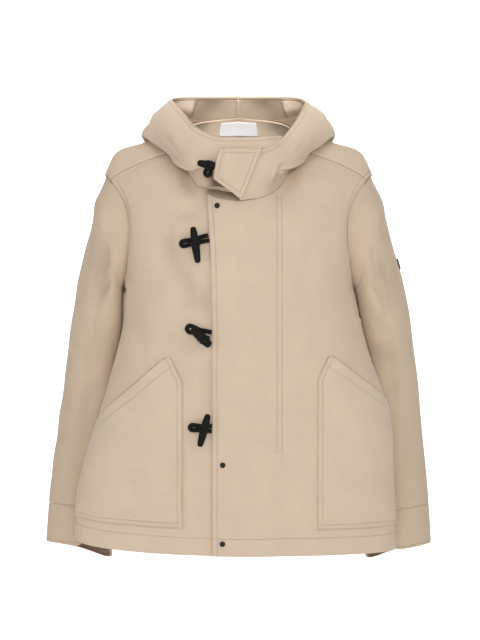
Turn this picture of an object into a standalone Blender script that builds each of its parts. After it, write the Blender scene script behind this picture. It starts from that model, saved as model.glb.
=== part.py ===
"""A hooded toggle parka of thick felted wool, worn form, hollow, with open neck, hem and cuffs.

Metres, +Z up. +X is the wearer's left and -Y the front. The origin lies between the
shoulders, at the height where they carry the coat.
"""

import math
from collections import namedtuple

import bpy
from mathutils import Vector

# ---- driving sizes ------------------------------------------------------------------
WALL = 0.0024            # cloth thickness
SEAM_GAP = 0.00035       # each piece stops this far short of a shared seam line
LAP = 0.0038             # centre to centre of two layers of cloth that lie on each other
HEM_Z = -0.749           # front hem
ARMPIT_Z = -0.263        # where the armhole starts
HEM_RAISE_RIGHT = 0.024  # the hem's side rises on the wearer's right
HEM_RAISE_LEFT = 0.003
HEM_RAISE_POWER = 1.4    # how fast that rise grows from the centre to the side
SQUARENESS = 2.2         # exponent of the body's superellipse sections
PLACKET_X = -0.0475      # edge of the left front, on the wearer's right of the centre
PLACKET_TOP_X = -0.0560
UNDERLAP_X = 0.030       # the right front runs on to here under the placket

BODY_ROWS_LOW = 15       # rows of faces below the armpit
BODY_ROWS_HIGH = 10      # and above it
FRONT_COLUMNS = 14       # columns of faces from a side seam to the centre
BACK_COLUMNS = 24

ARMHOLE_Y = 0.010        # the armhole's middle
ARMHOLE_Z = -0.155
ARMHOLE_DEPTH = 0.078
ARMHOLE_RISE = 0.108
SEAM_TIP = 118.0         # degrees round the armhole where the forward shoulder seam ends

NECK_Y = -0.015          # axis of the neck
JUNCTION = 87.0          # degrees round the neck where the shoulder seam meets it
JUNCTION_S = 0.38        # the same place, as a share of the way from centre to side
UNDER_NECK_RISE = 0.018  # the under layer's neckline stands this much higher in front
UNDER_INSET = 0.0085     # and this much further in

SIDE_STOP = 0.9991       # the fronts and the back end here, as a share of the half round
YOKE_RISE = 0.21         # mean height of the body above the armpit, one step of v
BELOW_ARMPIT = -0.30     # the yoke's tables start from a row this share below the armpit

SLEEVE_ROUND = 26        # columns round a sleeve
CUFF_START = 0.915       # share of the sleeve's length where the cuff band starts
CUFF_GAP = 0.0004        # half the gap between sleeve and band, as such a share
SLEEVE_SHARES = (0.0, 0.03, 0.065, 0.11, 0.16, 0.21, 0.27, 0.33, 0.40, 0.48, 0.57, 0.66, 0.76, 0.86)

# ---- tables of sections --------------------------------------------------------------
Body = namedtuple("Body", "z right left side_y front_y back_y")
BODY = (
    Body(-0.760, 0.3050, 0.2930, -0.026, -0.114, 0.062),
    Body(-0.660, 0.2980, 0.2885, -0.025, -0.117, 0.068),
    Body(-0.590, 0.2830, 0.2850, -0.023, -0.119, 0.076),
    Body(-0.520, 0.2645, 0.2820, -0.020, -0.122, 0.086),
    Body(-0.470, 0.2510, 0.2740, -0.016, -0.125, 0.095),
    Body(-0.395, 0.2310, 0.2480, -0.008, -0.129, 0.110),
    Body(-0.330, 0.2170, 0.2300, 0.001, -0.134, 0.123),
    Body(-0.263, 0.2176, 0.2176, 0.010, -0.138, 0.135),
)

# Above the armpit: stations from the armhole (side = 1) to the centre line (side = 0),
# and for each height share the station's place.
STATIONS = (0.87, 0.63, JUNCTION_S, 0.20, 0.0)
Height = namedtuple("Height", "share cap mid neck half centre")
FRONT_HIGH = (
    Height(0.30, (0.198, -0.075, -0.204), (0.178, -0.098, -0.203), (0.128, -0.122, -0.203),
           (0.075, -0.134, -0.205), (0.0, -0.139, -0.208)),
    Height(0.55, (0.193, -0.081, -0.148), (0.170, -0.097, -0.142), (0.122, -0.116, -0.138),
           (0.073, -0.130, -0.152), (0.0, -0.137, -0.165)),
    Height(0.80, (0.205, -0.062, -0.088), (0.170, -0.072, -0.072), (0.112, -0.078, -0.062),
           (0.074, -0.114, -0.112), (0.0, -0.132, -0.132)),
    Height(1.00, (0.222, -0.030, -0.046), (0.170, -0.031, -0.022), (0.097, -0.020, 0.003),
           (0.077, -0.092, -0.076), (0.0, -0.125, -0.106)),
)
BACK_HIGH = (
    Height(0.25, (0.200, 0.088, -0.215), (0.178, 0.108, -0.212), (0.128, 0.126, -0.210),
           (0.075, 0.134, -0.210), (0.0, 0.137, -0.210)),
    Height(0.50, (0.196, 0.096, -0.120), (0.172, 0.110, -0.112), (0.124, 0.122, -0.105),
           (0.075, 0.130, -0.105), (0.0, 0.133, -0.105)),
    Height(0.72, (0.222, 0.062, -0.040), (0.178, 0.074, -0.016), (0.128, 0.082, 0.004),
           (0.083, 0.108, 0.000), (0.0, 0.120, -0.003)),
    Height(0.87, (0.231, 0.018, -0.004), (0.182, 0.018, 0.014), (0.118, 0.012, 0.034),
           (0.096, 0.070, 0.041), (0.0, 0.107, 0.041)),
    Height(1.00, (0.222, -0.030, -0.046), (0.170, -0.031, -0.022), (0.097, -0.020, 0.003),
           (0.0815, 0.056, 0.057), (0.0, 0.090, 0.072)),
)

# Hood: for each direction round the neck the profile runs from the neck seam outward
# under the fold, round the fold and back up to the rim. r is the distance from the neck.
Hood = namedtuple("Hood", "angle seam_r seam_z under_r under_z fold_r fold_z"
                          " bulge_r bulge_z rim_r rim_z under_layer_rim_z")
HOOD = (
    Hood(0.0, 0.1100, -0.106, 0.118, -0.092, 0.123, -0.068, 0.126, -0.040, 0.121, -0.014, 0.010),
    Hood(23.0, 0.1124, -0.098, 0.118, -0.082, 0.128, -0.058, 0.129, -0.030, 0.122, -0.010, 0.013),
    Hood(45.0, 0.1080, -0.076, 0.113, -0.056, 0.130, -0.043, 0.136, -0.016, 0.112, 0.013, 0.034),
    Hood(65.0, 0.1007, -0.045, 0.110, -0.028, 0.130, -0.022, 0.138, 0.014, 0.112, 0.042, 0.062),
    Hood(85.0, 0.0970, -0.002, 0.112, 0.027, 0.150, 0.003, 0.150, 0.040, 0.119, 0.074, 0.084),
    Hood(100.0, 0.1000, 0.030, 0.120, 0.058, 0.182, 0.028, 0.168, 0.062, 0.128, 0.092, 0.097),
    Hood(120.0, 0.1060, 0.050, 0.130, 0.067, 0.190, 0.005, 0.188, 0.055, 0.132, 0.106, 0.107),
    Hood(150.0, 0.1105, 0.065, 0.139, 0.055, 0.184, -0.085, 0.212, 0.010, 0.136, 0.116, 0.116),
    Hood(180.0, 0.1050, 0.072, 0.139, 0.052, 0.172, -0.120, 0.224, -0.010, 0.139, 0.120, 0.120),
)
HOOD_UNDER_END = -50.0   # the under layer runs on past the centre to here
HIDDEN_RIM = (-23.0, 0.013, 0.0002)  # its rim from this angle on: height, and rise a degree
HOOD_OVER_START = 1.0    # the over layer starts here, under the throat tab
HOOD_COLUMNS = 16
HOOD_ROWS = 15
HOOD_START = 0.030       # share of the way up where the hood's own cloth starts
HOOD_CENTRE_GAP = 0.15   # degrees between each half and the centre-back seam

# Sleeve: a ring at each station, from the armhole down. The outer point of a ring lies
# half_width from its middle, leaning out by lean degrees from straight up.
Ring = namedtuple("Ring", "along x y z lean half_width half_depth")
SLEEVE = (
    Ring(0.00, 0.222, 0.010, -0.155, 0.0, 0.108, 0.078),
    Ring(0.09, 0.2430, 0.014, -0.176, 15.0, 0.0880, 0.083),
    Ring(0.20, 0.2560, 0.022, -0.228, 30.0, 0.0645, 0.086),
    Ring(0.30, 0.2668, 0.036, -0.278, 50.0, 0.0530, 0.087),
    Ring(0.42, 0.2755, 0.056, -0.342, 73.0, 0.0480, 0.085),
    Ring(0.54, 0.2840, 0.081, -0.415, 82.0, 0.0512, 0.076),
    Ring(0.72, 0.2930, 0.096, -0.540, 81.0, 0.0580, 0.062),
    Ring(0.90, 0.3040, 0.100, -0.672, 81.0, 0.0620, 0.051),
    Ring(1.00, 0.3092, 0.101, -0.762, 80.0, 0.0630, 0.048),
)
SLEEVE_SPREAD = 0.005    # the left sleeve's middle stands out, the right one's in

# The cuff's lip: how far it rises in front, and more on its inner front, and how far it
# hangs at the back, and more at its inner back.
Lip = namedtuple("Lip", "front_rise inner_rise back_drop inner_drop")
LIPS = {"left": Lip(0.002, 0.012, 0.009, 0.010), "right": Lip(0.009, 0.024, 0.007, 0.009)}

# Pockets: side is 1 on the wearer's left. The opening runs from low_z at the outer edge
# up to the top corner, and the chamfer from there down to the inner edge.
Pocket = namedtuple("Pocket", "side inner_x chamfer_z top_x top_z low_z bottom_z")
POCKETS = (
    Pocket(-1, 0.1010, -0.432, 0.1330, -0.388, -0.516, -0.700),
    Pocket(1, 0.1430, -0.428, 0.1720, -0.386, -0.478, -0.702),
)
POCKET_ROWS = 13
POCKET_STAND = 0.0052    # centre to centre of a pocket and the front behind it
POCKET_COLUMNS = 9

# Toggles, seen from the front: x and z of both ends, the thick middle as a share of the
# way, and the loop's free end and its root at the placket.
Toggle = namedtuple("Toggle", "start end thick loop_tip loop_root")
TOGGLES = (
    Toggle((-0.0738, -0.0374), (-0.0400, -0.0450), 0.75, (-0.0530, -0.0554), (-0.0455, -0.0345)),
    Toggle((-0.0815, -0.1530), (-0.0725, -0.2180), 0.45, (-0.0985, -0.1830), (-0.0535, -0.1722)),
    Toggle((-0.0790, -0.3330), (-0.0500, -0.3600), 0.40, (-0.0880, -0.3370), (-0.0505, -0.3530)),
    Toggle((-0.0545, -0.4890), (-0.0700, -0.5480), 0.45, (-0.0830, -0.5140), (-0.0480, -0.5160)),
)
TOGGLE_THICK = 0.0072    # radius at the thick middle
TOGGLE_TIP = 0.0042      # radius at the ends
LOOP_CORD = 0.0024       # radius of the loop's cord
LOOP_HALF = 0.0030       # half the distance between the loop's two strands
TOGGLE_GAP = 0.0005      # cloth to loop, and loop to toggle
SNAP_GAP = 0.0005        # cloth to snap cap
SNAP_EDGE = 0.0005       # bevel of the cap's rim

SNAPS = ((-0.0385, -0.1140), (-0.0285, -0.5820), (-0.0290, -0.7250))
SNAP_RADIUS = 0.0050
SNAP_HEIGHT = 0.0022

# ---- finishes -------------------------------------------------------------------------
Finish = namedtuple("Finish", "red green blue roughness metallic")
FELT = Finish(0.66, 0.53, 0.41, 0.95, 0.0)
TAPE = Finish(0.72, 0.60, 0.50, 0.85, 0.0)
LABEL = Finish(0.86, 0.86, 0.88, 0.80, 0.0)
HORN = Finish(0.010, 0.010, 0.009, 0.35, 0.0)
CORD = Finish(0.012, 0.012, 0.012, 0.80, 0.0)
SNAP = Finish(0.012, 0.012, 0.013, 0.45, 0.2)
DARK_CLOTH = Finish(0.020, 0.020, 0.022, 0.85, 0.0)


def clear_scene():
    """Remove the objects that are there at the start."""
    for old in list(bpy.data.objects):
        bpy.data.objects.remove(old)


def make_collection():
    """The collection that holds the parka."""
    collection = bpy.data.collections.new("parka")
    bpy.context.scene.collection.children.link(collection)
    return collection


def make_material(name, finish):
    """A Principled material of the piece's own."""
    material = bpy.data.materials.new(name)
    material.use_nodes = True
    shader = material.node_tree.nodes["Principled BSDF"]
    shader.inputs["Base Color"].default_value = (finish.red, finish.green, finish.blue, 1.0)
    shader.inputs["Roughness"].default_value = finish.roughness
    shader.inputs["Metallic"].default_value = finish.metallic
    return material


def mix(a, b, share):
    """The value or point that lies at share of the way from a to b."""
    return a + (b - a) * share


def smooth(low, high, value):
    """0 below low, 1 above high, and a soft step between."""
    share = min(max((value - low) / (high - low), 0.0), 1.0)
    return share * share * (3.0 - 2.0 * share)


def spline(keys, values, key):
    """A smooth curve through values at rising keys (numbers or vectors), read at key."""
    last = len(keys) - 1
    i = 0
    while i < last - 1 and key > keys[i + 1]:
        i += 1

    def slope(j):
        before = max(j - 1, 0)
        after = min(j + 1, last)
        return (values[after] - values[before]) * (1.0 / (keys[after] - keys[before]))

    span = keys[i + 1] - keys[i]
    t = (key - keys[i]) / span
    pull_in = slope(i) * (span * (t * (1 - t) ** 2))
    pull_out = slope(i + 1) * (span * (t * t * (t - 1)))
    return mix(values[i], values[i + 1], t * t * (3 - 2 * t)) + pull_in + pull_out


def column(table, name):
    """One named column of a table."""
    return [getattr(row, name) for row in table]


def polar(angle, radius, z):
    """A point round the neck: 0 degrees is the front, positive angles the wearer's left."""
    turn = math.radians(angle)
    return Vector((radius * math.sin(turn), NECK_Y - radius * math.cos(turn), z))


# ---- seam lines that neighbouring pieces share ---------------------------------------
def hood_value(name, angle):
    """A column of the hood's table at a direction of 0 to 180 degrees."""
    return spline(column(HOOD, "angle"), column(HOOD, name), abs(angle))


def apart(angle, under):
    """How much the under layer counts as apart from the over one, which hides it where the
    angle is below 0."""
    if not under:
        return 0.0
    return 1.0 if angle < 0.0 else 1.0 - smooth(20.0, 48.0, angle)


def raised(angle, under):
    """How far the under layer stands up at its foot. Its hidden end comes down again."""
    return apart(angle, under) * UNDER_NECK_RISE * (1.0 - smooth(23.0, 42.0, -angle))


def neckline(angle, under=False):
    """The neck seam. The under layer's stands higher in front."""
    front = apart(angle, under)
    radius = hood_value("seam_r", angle) - UNDER_INSET * front
    return polar(angle, radius, hood_value("seam_z", angle) + raised(angle, under))


def armhole(angle):
    """The armhole seam on the wearer's left: -90 is the armpit, 0 the back, 90 the top."""
    turn = math.radians(angle)
    up = max(math.sin(turn), 0.0)
    down = max(-math.sin(turn), 0.0)
    x = 0.200 + 0.052 * up * up + 0.0176 * down * down
    return Vector((x, ARMHOLE_Y + ARMHOLE_DEPTH * math.cos(turn), ARMHOLE_Z + ARMHOLE_RISE * math.sin(turn)))


def shoulder_seam(side):
    """The forward shoulder seam, from the armhole (side = 1) to the neck (JUNCTION_S)."""
    top = FRONT_HIGH[-1]
    keys = (JUNCTION_S, STATIONS[1], STATIONS[0], 1.0)
    points = (neckline(JUNCTION), Vector(top.mid), Vector(top.cap), armhole(SEAM_TIP))
    return spline(keys, points, side)


def top_edge(side, is_back, under):
    """The upper edge of a front or of the back, side = 0 at the centre, 1 at the armhole."""
    if side >= JUNCTION_S:
        return shoulder_seam(side)
    turned = JUNCTION * side / JUNCTION_S
    if is_back:
        return neckline(180.0 - (180.0 - JUNCTION) * side / JUNCTION_S)
    return neckline(turned, under)


# ---- the body's surface ---------------------------------------------------------------
def low_point(side, height, is_back, sign):
    """Below the armpit: a superellipse section. height runs from 0, the hem, to 1."""
    raised = HEM_RAISE_LEFT if sign > 0 else HEM_RAISE_RIGHT
    z = mix(HEM_Z, ARMPIT_Z, height)
    keys = column(BODY, "z")
    width = spline(keys, column(BODY, "left" if sign > 0 else "right"), z)
    side_y = spline(keys, column(BODY, "side_y"), z)
    far_y = spline(keys, column(BODY, "back_y" if is_back else "front_y"), z)
    turn = math.radians(90.0 * (1.0 - side))
    power = 2.0 / SQUARENESS
    x = width * max(math.cos(turn), 0.0) ** power
    y = side_y + (far_y - side_y) * max(math.sin(turn), 0.0) ** power
    lift = raised * side ** HEM_RAISE_POWER * (1.0 - height) ** 2
    return Vector((x, y, z + lift))


def high_point(side, share, is_back, under):
    """Above the armpit, on the wearer's left: share runs from 0 at the armpit to 1."""
    table = BACK_HIGH if is_back else FRONT_HIGH
    keys = [BELOW_ARMPIT, 0.0] + column(table, "share")
    sides = [1.0] + list(STATIONS)
    names = ("cap", "mid", "neck", "half", "centre")
    start = -90.0 if is_back else 270.0
    points = [armhole(mix(start, SEAM_TIP, share))]
    low_height = 1.0 + BELOW_ARMPIT * YOKE_RISE / (ARMPIT_Z - HEM_Z)
    for station, name in zip(STATIONS, names):
        line = [low_point(station, low_height, is_back, 1), low_point(station, 1.0, is_back, 1)]
        line += [Vector(place) for place in column(table, name)]
        points.append(spline(keys, line, share))
    sides.append(-STATIONS[-2])
    mirrored = points[-2].copy()
    mirrored.x = -mirrored.x
    points.append(mirrored)
    rising = [1.0 - s for s in sides]
    place = spline(rising, points, 1.0 - side)
    top_points = [armhole(SEAM_TIP)] + [Vector(place_) for place_ in
                                        (getattr(table[-1], name) for name in names)]
    top_mirrored = top_points[-2].copy()
    top_mirrored.x = -top_mirrored.x
    top_points.append(top_mirrored)
    plain_top = spline(rising, top_points, 1.0 - side)
    pull = max(share, 0.0) ** 2.2
    return place + (top_edge(side, is_back, under) - plain_top) * pull


def body_point(s, v, is_back=False, under=False):
    """The coat's surface. s runs from -1, right side seam, over 0 to 1, left; v from 0 to 2,
    with 1 at the armpit."""
    side = abs(s)
    sign = 1 if s >= 0 else -1
    if v <= 1.0:
        place = low_point(side, v, is_back, sign)
    else:
        place = high_point(side, v - 1.0, is_back, under)
    place.x *= sign
    return place


def lap_shift(x, is_over):
    """How far a front stands off the shared surface where the two fronts lie on each other."""
    if is_over:
        return -0.5 * LAP * (1.0 - smooth(0.045, 0.085, x))
    return 0.5 * LAP * smooth(-0.120, -0.075, x)


def front_point(s, v, is_over):
    """A point of the left front (over) or of the right front (under)."""
    place = body_point(s, v, under=not is_over)
    place.y += lap_shift(place.x, is_over)
    return place


def share_at_x(x, v):
    """The s at which a front's row v crosses x, for small x."""
    low, high = -0.6, 0.6
    for _ in range(30):
        middle = 0.5 * (low + high)
        if body_point(middle, v).x < x:
            low = middle
        else:
            high = middle
    return 0.5 * (low + high)


def placket_edge(v):
    """The x of the left front's edge on row v."""
    return mix(PLACKET_X, PLACKET_TOP_X, smooth(0.9, 2.0, v))


def body_rows():
    """The v of each row of points, from hem to top, the seams' gap taken off."""
    low = [i / BODY_ROWS_LOW for i in range(BODY_ROWS_LOW)]
    high = [1.0 + i / BODY_ROWS_HIGH for i in range(BODY_ROWS_HIGH + 1)]
    rows = low + high
    rows[-1] -= SEAM_GAP / YOKE_RISE
    return rows


# ---- making solids ---------------------------------------------------------------------
def add_object(name, mesh, finish):
    """Put a mesh in the parka's collection with its own material."""
    mesh.materials.append(make_material(name, finish))
    for face in mesh.polygons:
        face.use_smooth = True
    piece = bpy.data.objects.new(name, mesh)
    PARKA.objects.link(piece)
    return piece


def cloth(name, rows, finish=FELT, thickness=WALL, closed=False):
    """A sheet of cloth through rows of points, given its thickness. closed joins each row's
    end to its start."""
    count = len(rows[0])
    points = [point for row in rows for point in row]
    faces = []
    for r in range(len(rows) - 1):
        for c in range(count if closed else count - 1):
            after = (c + 1) % count
            corner = r * count
            faces.append((corner + c, corner + after, corner + count + after, corner + count + c))
    mesh = bpy.data.meshes.new(name)
    mesh.from_pydata(points, [], faces)
    mesh.update()
    piece = add_object(name, mesh, finish)
    wall = piece.modifiers.new("Wall", "SOLIDIFY")
    wall.thickness = thickness
    wall.offset = 0.0
    return piece


def moved_out(rows, distance):
    """Rows of points moved along the sheet's own normals, away from the coat's inside."""
    moved = []
    for r, row in enumerate(rows):
        above = rows[min(r + 1, len(rows) - 1)]
        below = rows[max(r - 1, 0)]
        line = []
        for c, point in enumerate(row):
            along = row[min(c + 1, len(row) - 1)] - row[max(c - 1, 0)]
            up = above[c] - below[c]
            line.append(point + along.cross(up).normalized() * distance)
        moved.append(line)
    return moved


def tube(name, points, radii, finish, closed=False, resolution=2):
    """A round bar through points, as thick as radii says at each."""
    curve = bpy.data.curves.new(name, "CURVE")
    curve.dimensions = "3D"
    curve.bevel_depth = 1.0
    curve.bevel_resolution = resolution
    curve.use_fill_caps = not closed
    path = curve.splines.new("POLY")
    path.points.add(len(points) - 1)
    for node, point, radius in zip(path.points, points, radii):
        node.co = (*point, 1.0)
        node.radius = radius
    path.use_cyclic_u = closed
    curve.materials.append(make_material(name, finish))
    piece = bpy.data.objects.new(name, curve)
    PARKA.objects.link(piece)
    return piece


# ---- the pieces ------------------------------------------------------------------------
def make_fronts():
    """Both fronts: the left one laps over the right one."""
    left_rows = []
    right_rows = []
    for v in body_rows():
        start = share_at_x(placket_edge(v), v)
        total = FRONT_COLUMNS + 4
        left = [mix(start, SIDE_STOP, i / total) for i in range(total + 1)]
        left_rows.append([front_point(s, v, True) for s in left])
        stop = share_at_x(UNDERLAP_X, v)
        right = [mix(-SIDE_STOP, stop, i / total) for i in range(total + 1)]
        right_rows.append([front_point(s, v, False) for s in right])
    cloth("front_left", left_rows)
    cloth("front_right", right_rows)


def make_back():
    """The back, which runs over the shoulders to the forward seams."""
    rows = []
    for v in body_rows():
        shares = [mix(SIDE_STOP, -SIDE_STOP, i / BACK_COLUMNS) for i in range(BACK_COLUMNS + 1)]
        rows.append([body_point(s, v, is_back=True) for s in shares])
    cloth("back", rows)


def sleeve_point(along, angle, side="left"):
    """A point of a sleeve, as on the left: angle 90 is outside, 0 the back, -90 next to the
    body."""
    turn = math.radians(angle)
    spread = SLEEVE_SPREAD if side == "left" else -SLEEVE_SPREAD
    keys = column(SLEEVE, "along")
    lean = math.radians(spline(keys, column(SLEEVE, "lean"), along))
    middle = Vector([spline(keys, column(SLEEVE, axis), along) for axis in ("x", "y", "z")])
    middle.x += spread * math.sin(math.pi * min(along, 1.0)) ** 2
    outward = Vector((math.sin(lean), 0.0, math.cos(lean)))
    across = outward * (spline(keys, column(SLEEVE, "half_width"), along) * math.sin(turn))
    depth = Vector((0.0, spline(keys, column(SLEEVE, "half_depth"), along) * math.cos(turn), 0.0))
    place = middle + across + depth
    place.z += lip_rise(LIPS[side], along, turn)
    seam = armhole(angle) + armpit_clearance(angle)
    return mix(seam, place, smooth(0.0, 0.11, along))


def lip_rise(lip, along, turn):
    """How far the cuff's slanted lip lifts a point of the sleeve. turn is in radians."""
    front = max(-math.cos(turn), 0.0)
    back = max(math.cos(turn), 0.0)
    inner = max(-math.sin(turn), 0.0)
    whole = smooth(0.7, 1.0, along) * (lip.front_rise * front - lip.back_drop * back)
    corner = 2.0 * lip.inner_rise * front * inner - lip.inner_drop * max(math.cos(turn + 0.95), 0.0) ** 3
    return whole + smooth(0.88, 1.0, along) * corner


def armpit_clearance(angle):
    """The sleeve's end stands clear of the body, most of all at the armpit."""
    down = max(-math.sin(math.radians(angle)), 0.0)
    return Vector((SEAM_GAP + 0.0022 + 0.0018 * down, 0.0, 0.0026 * down))


def mirror_x(rows):
    """The same rows on the wearer's other side."""
    return [[Vector((-p.x, p.y, p.z)) for p in row] for row in rows]


def make_sleeves():
    """Sleeves and their cuff bands."""
    angles = [360.0 * i / SLEEVE_ROUND for i in range(SLEEVE_ROUND)]
    shares = [*SLEEVE_SHARES, CUFF_START - CUFF_GAP]
    band = [CUFF_START + CUFF_GAP, mix(CUFF_START, 1.0, 0.5), 1.0]
    for side in ("left", "right"):
        for piece, stations in (("sleeve", shares), ("cuff", band)):
            rings = [[sleeve_point(share, angle, side) for angle in angles] for share in stations]
            if side == "right":
                rings = mirror_x(rings)
            cloth(f"{piece}_{side}", rings, closed=True)


def hood_point(angle, up, under=False):
    """The hood's surface: up runs from 0, the neck seam, to 1, the rim."""
    front = apart(angle, under)
    rim_z = hood_value("under_layer_rim_z" if under else "rim_z", angle)
    hidden_from, hidden_z, rise = HIDDEN_RIM
    if under and angle < hidden_from:
        rim_z = hidden_z + rise * (hidden_from - angle)
    keys = (0.0, 0.16, 0.42, 0.70, 1.0)
    points = [neckline(angle, under)]
    for name in ("under", "fold", "bulge"):
        radius = hood_value(name + "_r", angle) - UNDER_INSET * front
        points.append(polar(angle, radius, hood_value(name + "_z", angle) + raised(angle, under)))
    radius = hood_value("rim_r", angle) - UNDER_INSET * front
    points.append(polar(angle, radius, rim_z))
    place = spline(keys, points, up)
    outward = polar(angle, 1.0, 0.0) - polar(angle, 0.0, 0.0)
    lap = 0.5 * LAP * (1.0 - smooth(30.0, 45.0, angle if under else abs(angle)))
    return place + outward * (-lap if under else lap)


def make_hood():
    """Both hood halves and the tape on their seam."""
    ups = [mix(HOOD_START, 1.0, i / HOOD_ROWS) for i in range(HOOD_ROWS + 1)]
    end = 180.0 - HOOD_CENTRE_GAP
    over = [mix(HOOD_OVER_START, end, i / HOOD_COLUMNS) for i in range(HOOD_COLUMNS + 1)]
    cloth("hood_left", [[hood_point(a, up) for a in over] for up in ups])
    under = [mix(HOOD_UNDER_END, end, i / (HOOD_COLUMNS + 4)) for i in range(HOOD_COLUMNS + 5)]
    rows = [[hood_point(a, up, under=True) for a in under] for up in ups]
    cloth("hood_right", mirror_x(rows))


def tab_point(angle, up):
    """A point on the over layer at the throat, on either side of the centre."""
    place = hood_point(abs(angle), up)
    if angle < 0:
        place.x = -place.x
    return place


def make_throat_tab():
    """The tab that closes the throat, laid on the left hood edge."""
    upper_left, upper_right = (-15.0, 1.0), (20.0, 0.985)
    lower_left, lower_right = (-20.0, 0.36), (3.0, 0.05)
    rows = []
    for r in range(7):
        up = r / 6
        row = []
        for c in range(8):
            across = c / 7
            angle = mix(mix(lower_left[0], lower_right[0], across),
                        mix(upper_left[0], upper_right[0], across), up)
            height = mix(mix(lower_left[1], lower_right[1], across),
                         mix(upper_left[1], upper_right[1], across), up)
            row.append(tab_point(angle, height))
        rows.append(row)
    cloth("throat_tab", moved_out(rows, LAP))


def make_hood_tape():
    """The binding on the inside of the hood's centre-back seam."""
    half_width = 1.4
    rows = []
    for i in range(9):
        up = mix(0.72, 0.985, i / 8)
        rows.append([tab_point(angle, up) for angle in (180.0 - half_width, 180.0)])
        rows[-1].append(Vector((-rows[-1][0].x, rows[-1][0].y, rows[-1][0].z)))
    cloth("hood_tape", moved_out(rows, -0.5 * (WALL + 0.0010) - 0.0018), TAPE, 0.0010)


def make_neck_label():
    """A plain label inside the back neck."""
    half_width = 0.072
    rows = []
    for i in range(4):
        v = mix(1.865, 1.975, i / 3)
        shares = (half_width, half_width / 2, 0.0, -half_width / 2, -half_width)
        rows.append([body_point(s, v, is_back=True) for s in shares])
    cloth("neck_label", moved_out(rows, -0.5 * (WALL + 0.0008) - 0.0024), LABEL, 0.0008)


def pocket_rows(pocket):
    """The pocket's sheet on the front's surface."""
    rows = []
    for r in range(POCKET_ROWS + 1):
        z = mix(pocket.bottom_z, pocket.top_z, r / POCKET_ROWS)
        v = (z - HEM_Z) / (ARMPIT_Z - HEM_Z)
        inner_x = pocket.inner_x
        if z > pocket.chamfer_z:
            rise = (z - pocket.chamfer_z) / (pocket.top_z - pocket.chamfer_z)
            inner_x = mix(pocket.inner_x, pocket.top_x - 0.010, rise)
        inner = abs(share_at_x(inner_x, v)) if pocket.side > 0 else abs(share_at_x(-inner_x, v))
        outer = 0.985
        if z > pocket.low_z:
            rise = (z - pocket.low_z) / (pocket.top_z - pocket.low_z)
            top = abs(share_at_x(pocket.side * pocket.top_x, v))
            outer = mix(0.985, top, rise ** 0.72)
        shares = [mix(inner, outer, c / POCKET_COLUMNS) for c in range(POCKET_COLUMNS + 1)]
        row = []
        for s in shares:
            row.append(front_point(pocket.side * s, v, pocket.side > 0))
        rows.append(row if pocket.side > 0 else row[::-1])
    return rows


def make_pockets():
    """Both patch pockets, laid on the fronts."""
    for pocket in POCKETS:
        name = "pocket_left" if pocket.side > 0 else "pocket_right"
        cloth(name, moved_out(pocket_rows(pocket), POCKET_STAND))


def front_face_y(x, z):
    """The y of the fronts' outer face at x and z, the over layer where it reaches."""
    if z <= ARMPIT_Z:
        v = (z - HEM_Z) / (ARMPIT_Z - HEM_Z)
    else:
        low, high = 1.0, 2.0
        for _ in range(24):
            v = 0.5 * (low + high)
            if body_point(share_at_x(x, v), v).z < z:
                low = v
            else:
                high = v
    s = share_at_x(x, v)
    return front_point(s, v, x > placket_edge(v)).y - 0.5 * WALL


def make_snaps():
    """Flat round snap caps on the placket."""
    for number, (x, z) in enumerate(SNAPS, start=1):
        nearest = min(front_face_y(x, z + SNAP_RADIUS), front_face_y(x, z - SNAP_RADIUS),
                      front_face_y(x - SNAP_RADIUS, z), front_face_y(x + SNAP_RADIUS, z))
        y = nearest - SNAP_GAP - 0.5 * SNAP_HEIGHT
        bpy.ops.mesh.primitive_cylinder_add(vertices=20, radius=SNAP_RADIUS, depth=SNAP_HEIGHT,
                                            location=(x, y, z), rotation=(math.radians(90), 0, 0))
        snap = bpy.context.object
        snap.name = f"snap_{number}"
        snap.data.materials.append(make_material(snap.name, SNAP))
        edge = snap.modifiers.new("Edge", "BEVEL")
        edge.width = SNAP_EDGE
        edge.segments = 1
        for home in snap.users_collection:
            home.objects.unlink(snap)
        PARKA.objects.link(snap)


def toggle_rest_y(number, x, z):
    """The y of the cloth's outer face under a toggle."""
    if number == 1:
        angle = -math.degrees(math.asin(min(abs(x) / 0.125, 1.0)))
        return tab_point(angle, 0.45).y - 0.5 * WALL
    return front_face_y(x, z)


def make_toggles():
    """Toggles, each over its doubled cord loop."""
    for number, toggle in enumerate(TOGGLES, start=1):
        root_x, root_z = toggle.loop_root
        tip_x, tip_z = toggle.loop_tip
        run = Vector((tip_x - root_x, 0.0, tip_z - root_z))
        length = run.length
        run.normalize()
        across = Vector((-run.z, 0.0, run.x))
        rest = min(toggle_rest_y(number, x, z) for x, z in (toggle.loop_root, toggle.loop_tip))
        loop_y = rest - LOOP_CORD - TOGGLE_GAP
        start = Vector((root_x, loop_y, root_z))
        path = []
        for i in range(7):
            path.append(start + run * (length * i / 6) + across * LOOP_HALF)
        for i in range(1, 6):
            turn = math.pi * i / 6
            path.append(start + run * (length + LOOP_HALF * math.sin(turn))
                        + across * (LOOP_HALF * math.cos(turn)))
        for i in range(7):
            path.append(start + run * (length * (6 - i) / 6) - across * LOOP_HALF)
        tube(f"toggle_loop_{number}", path, [LOOP_CORD] * len(path), CORD, resolution=2)
        make_toggle(number, toggle, loop_y - LOOP_CORD - TOGGLE_GAP)


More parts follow.
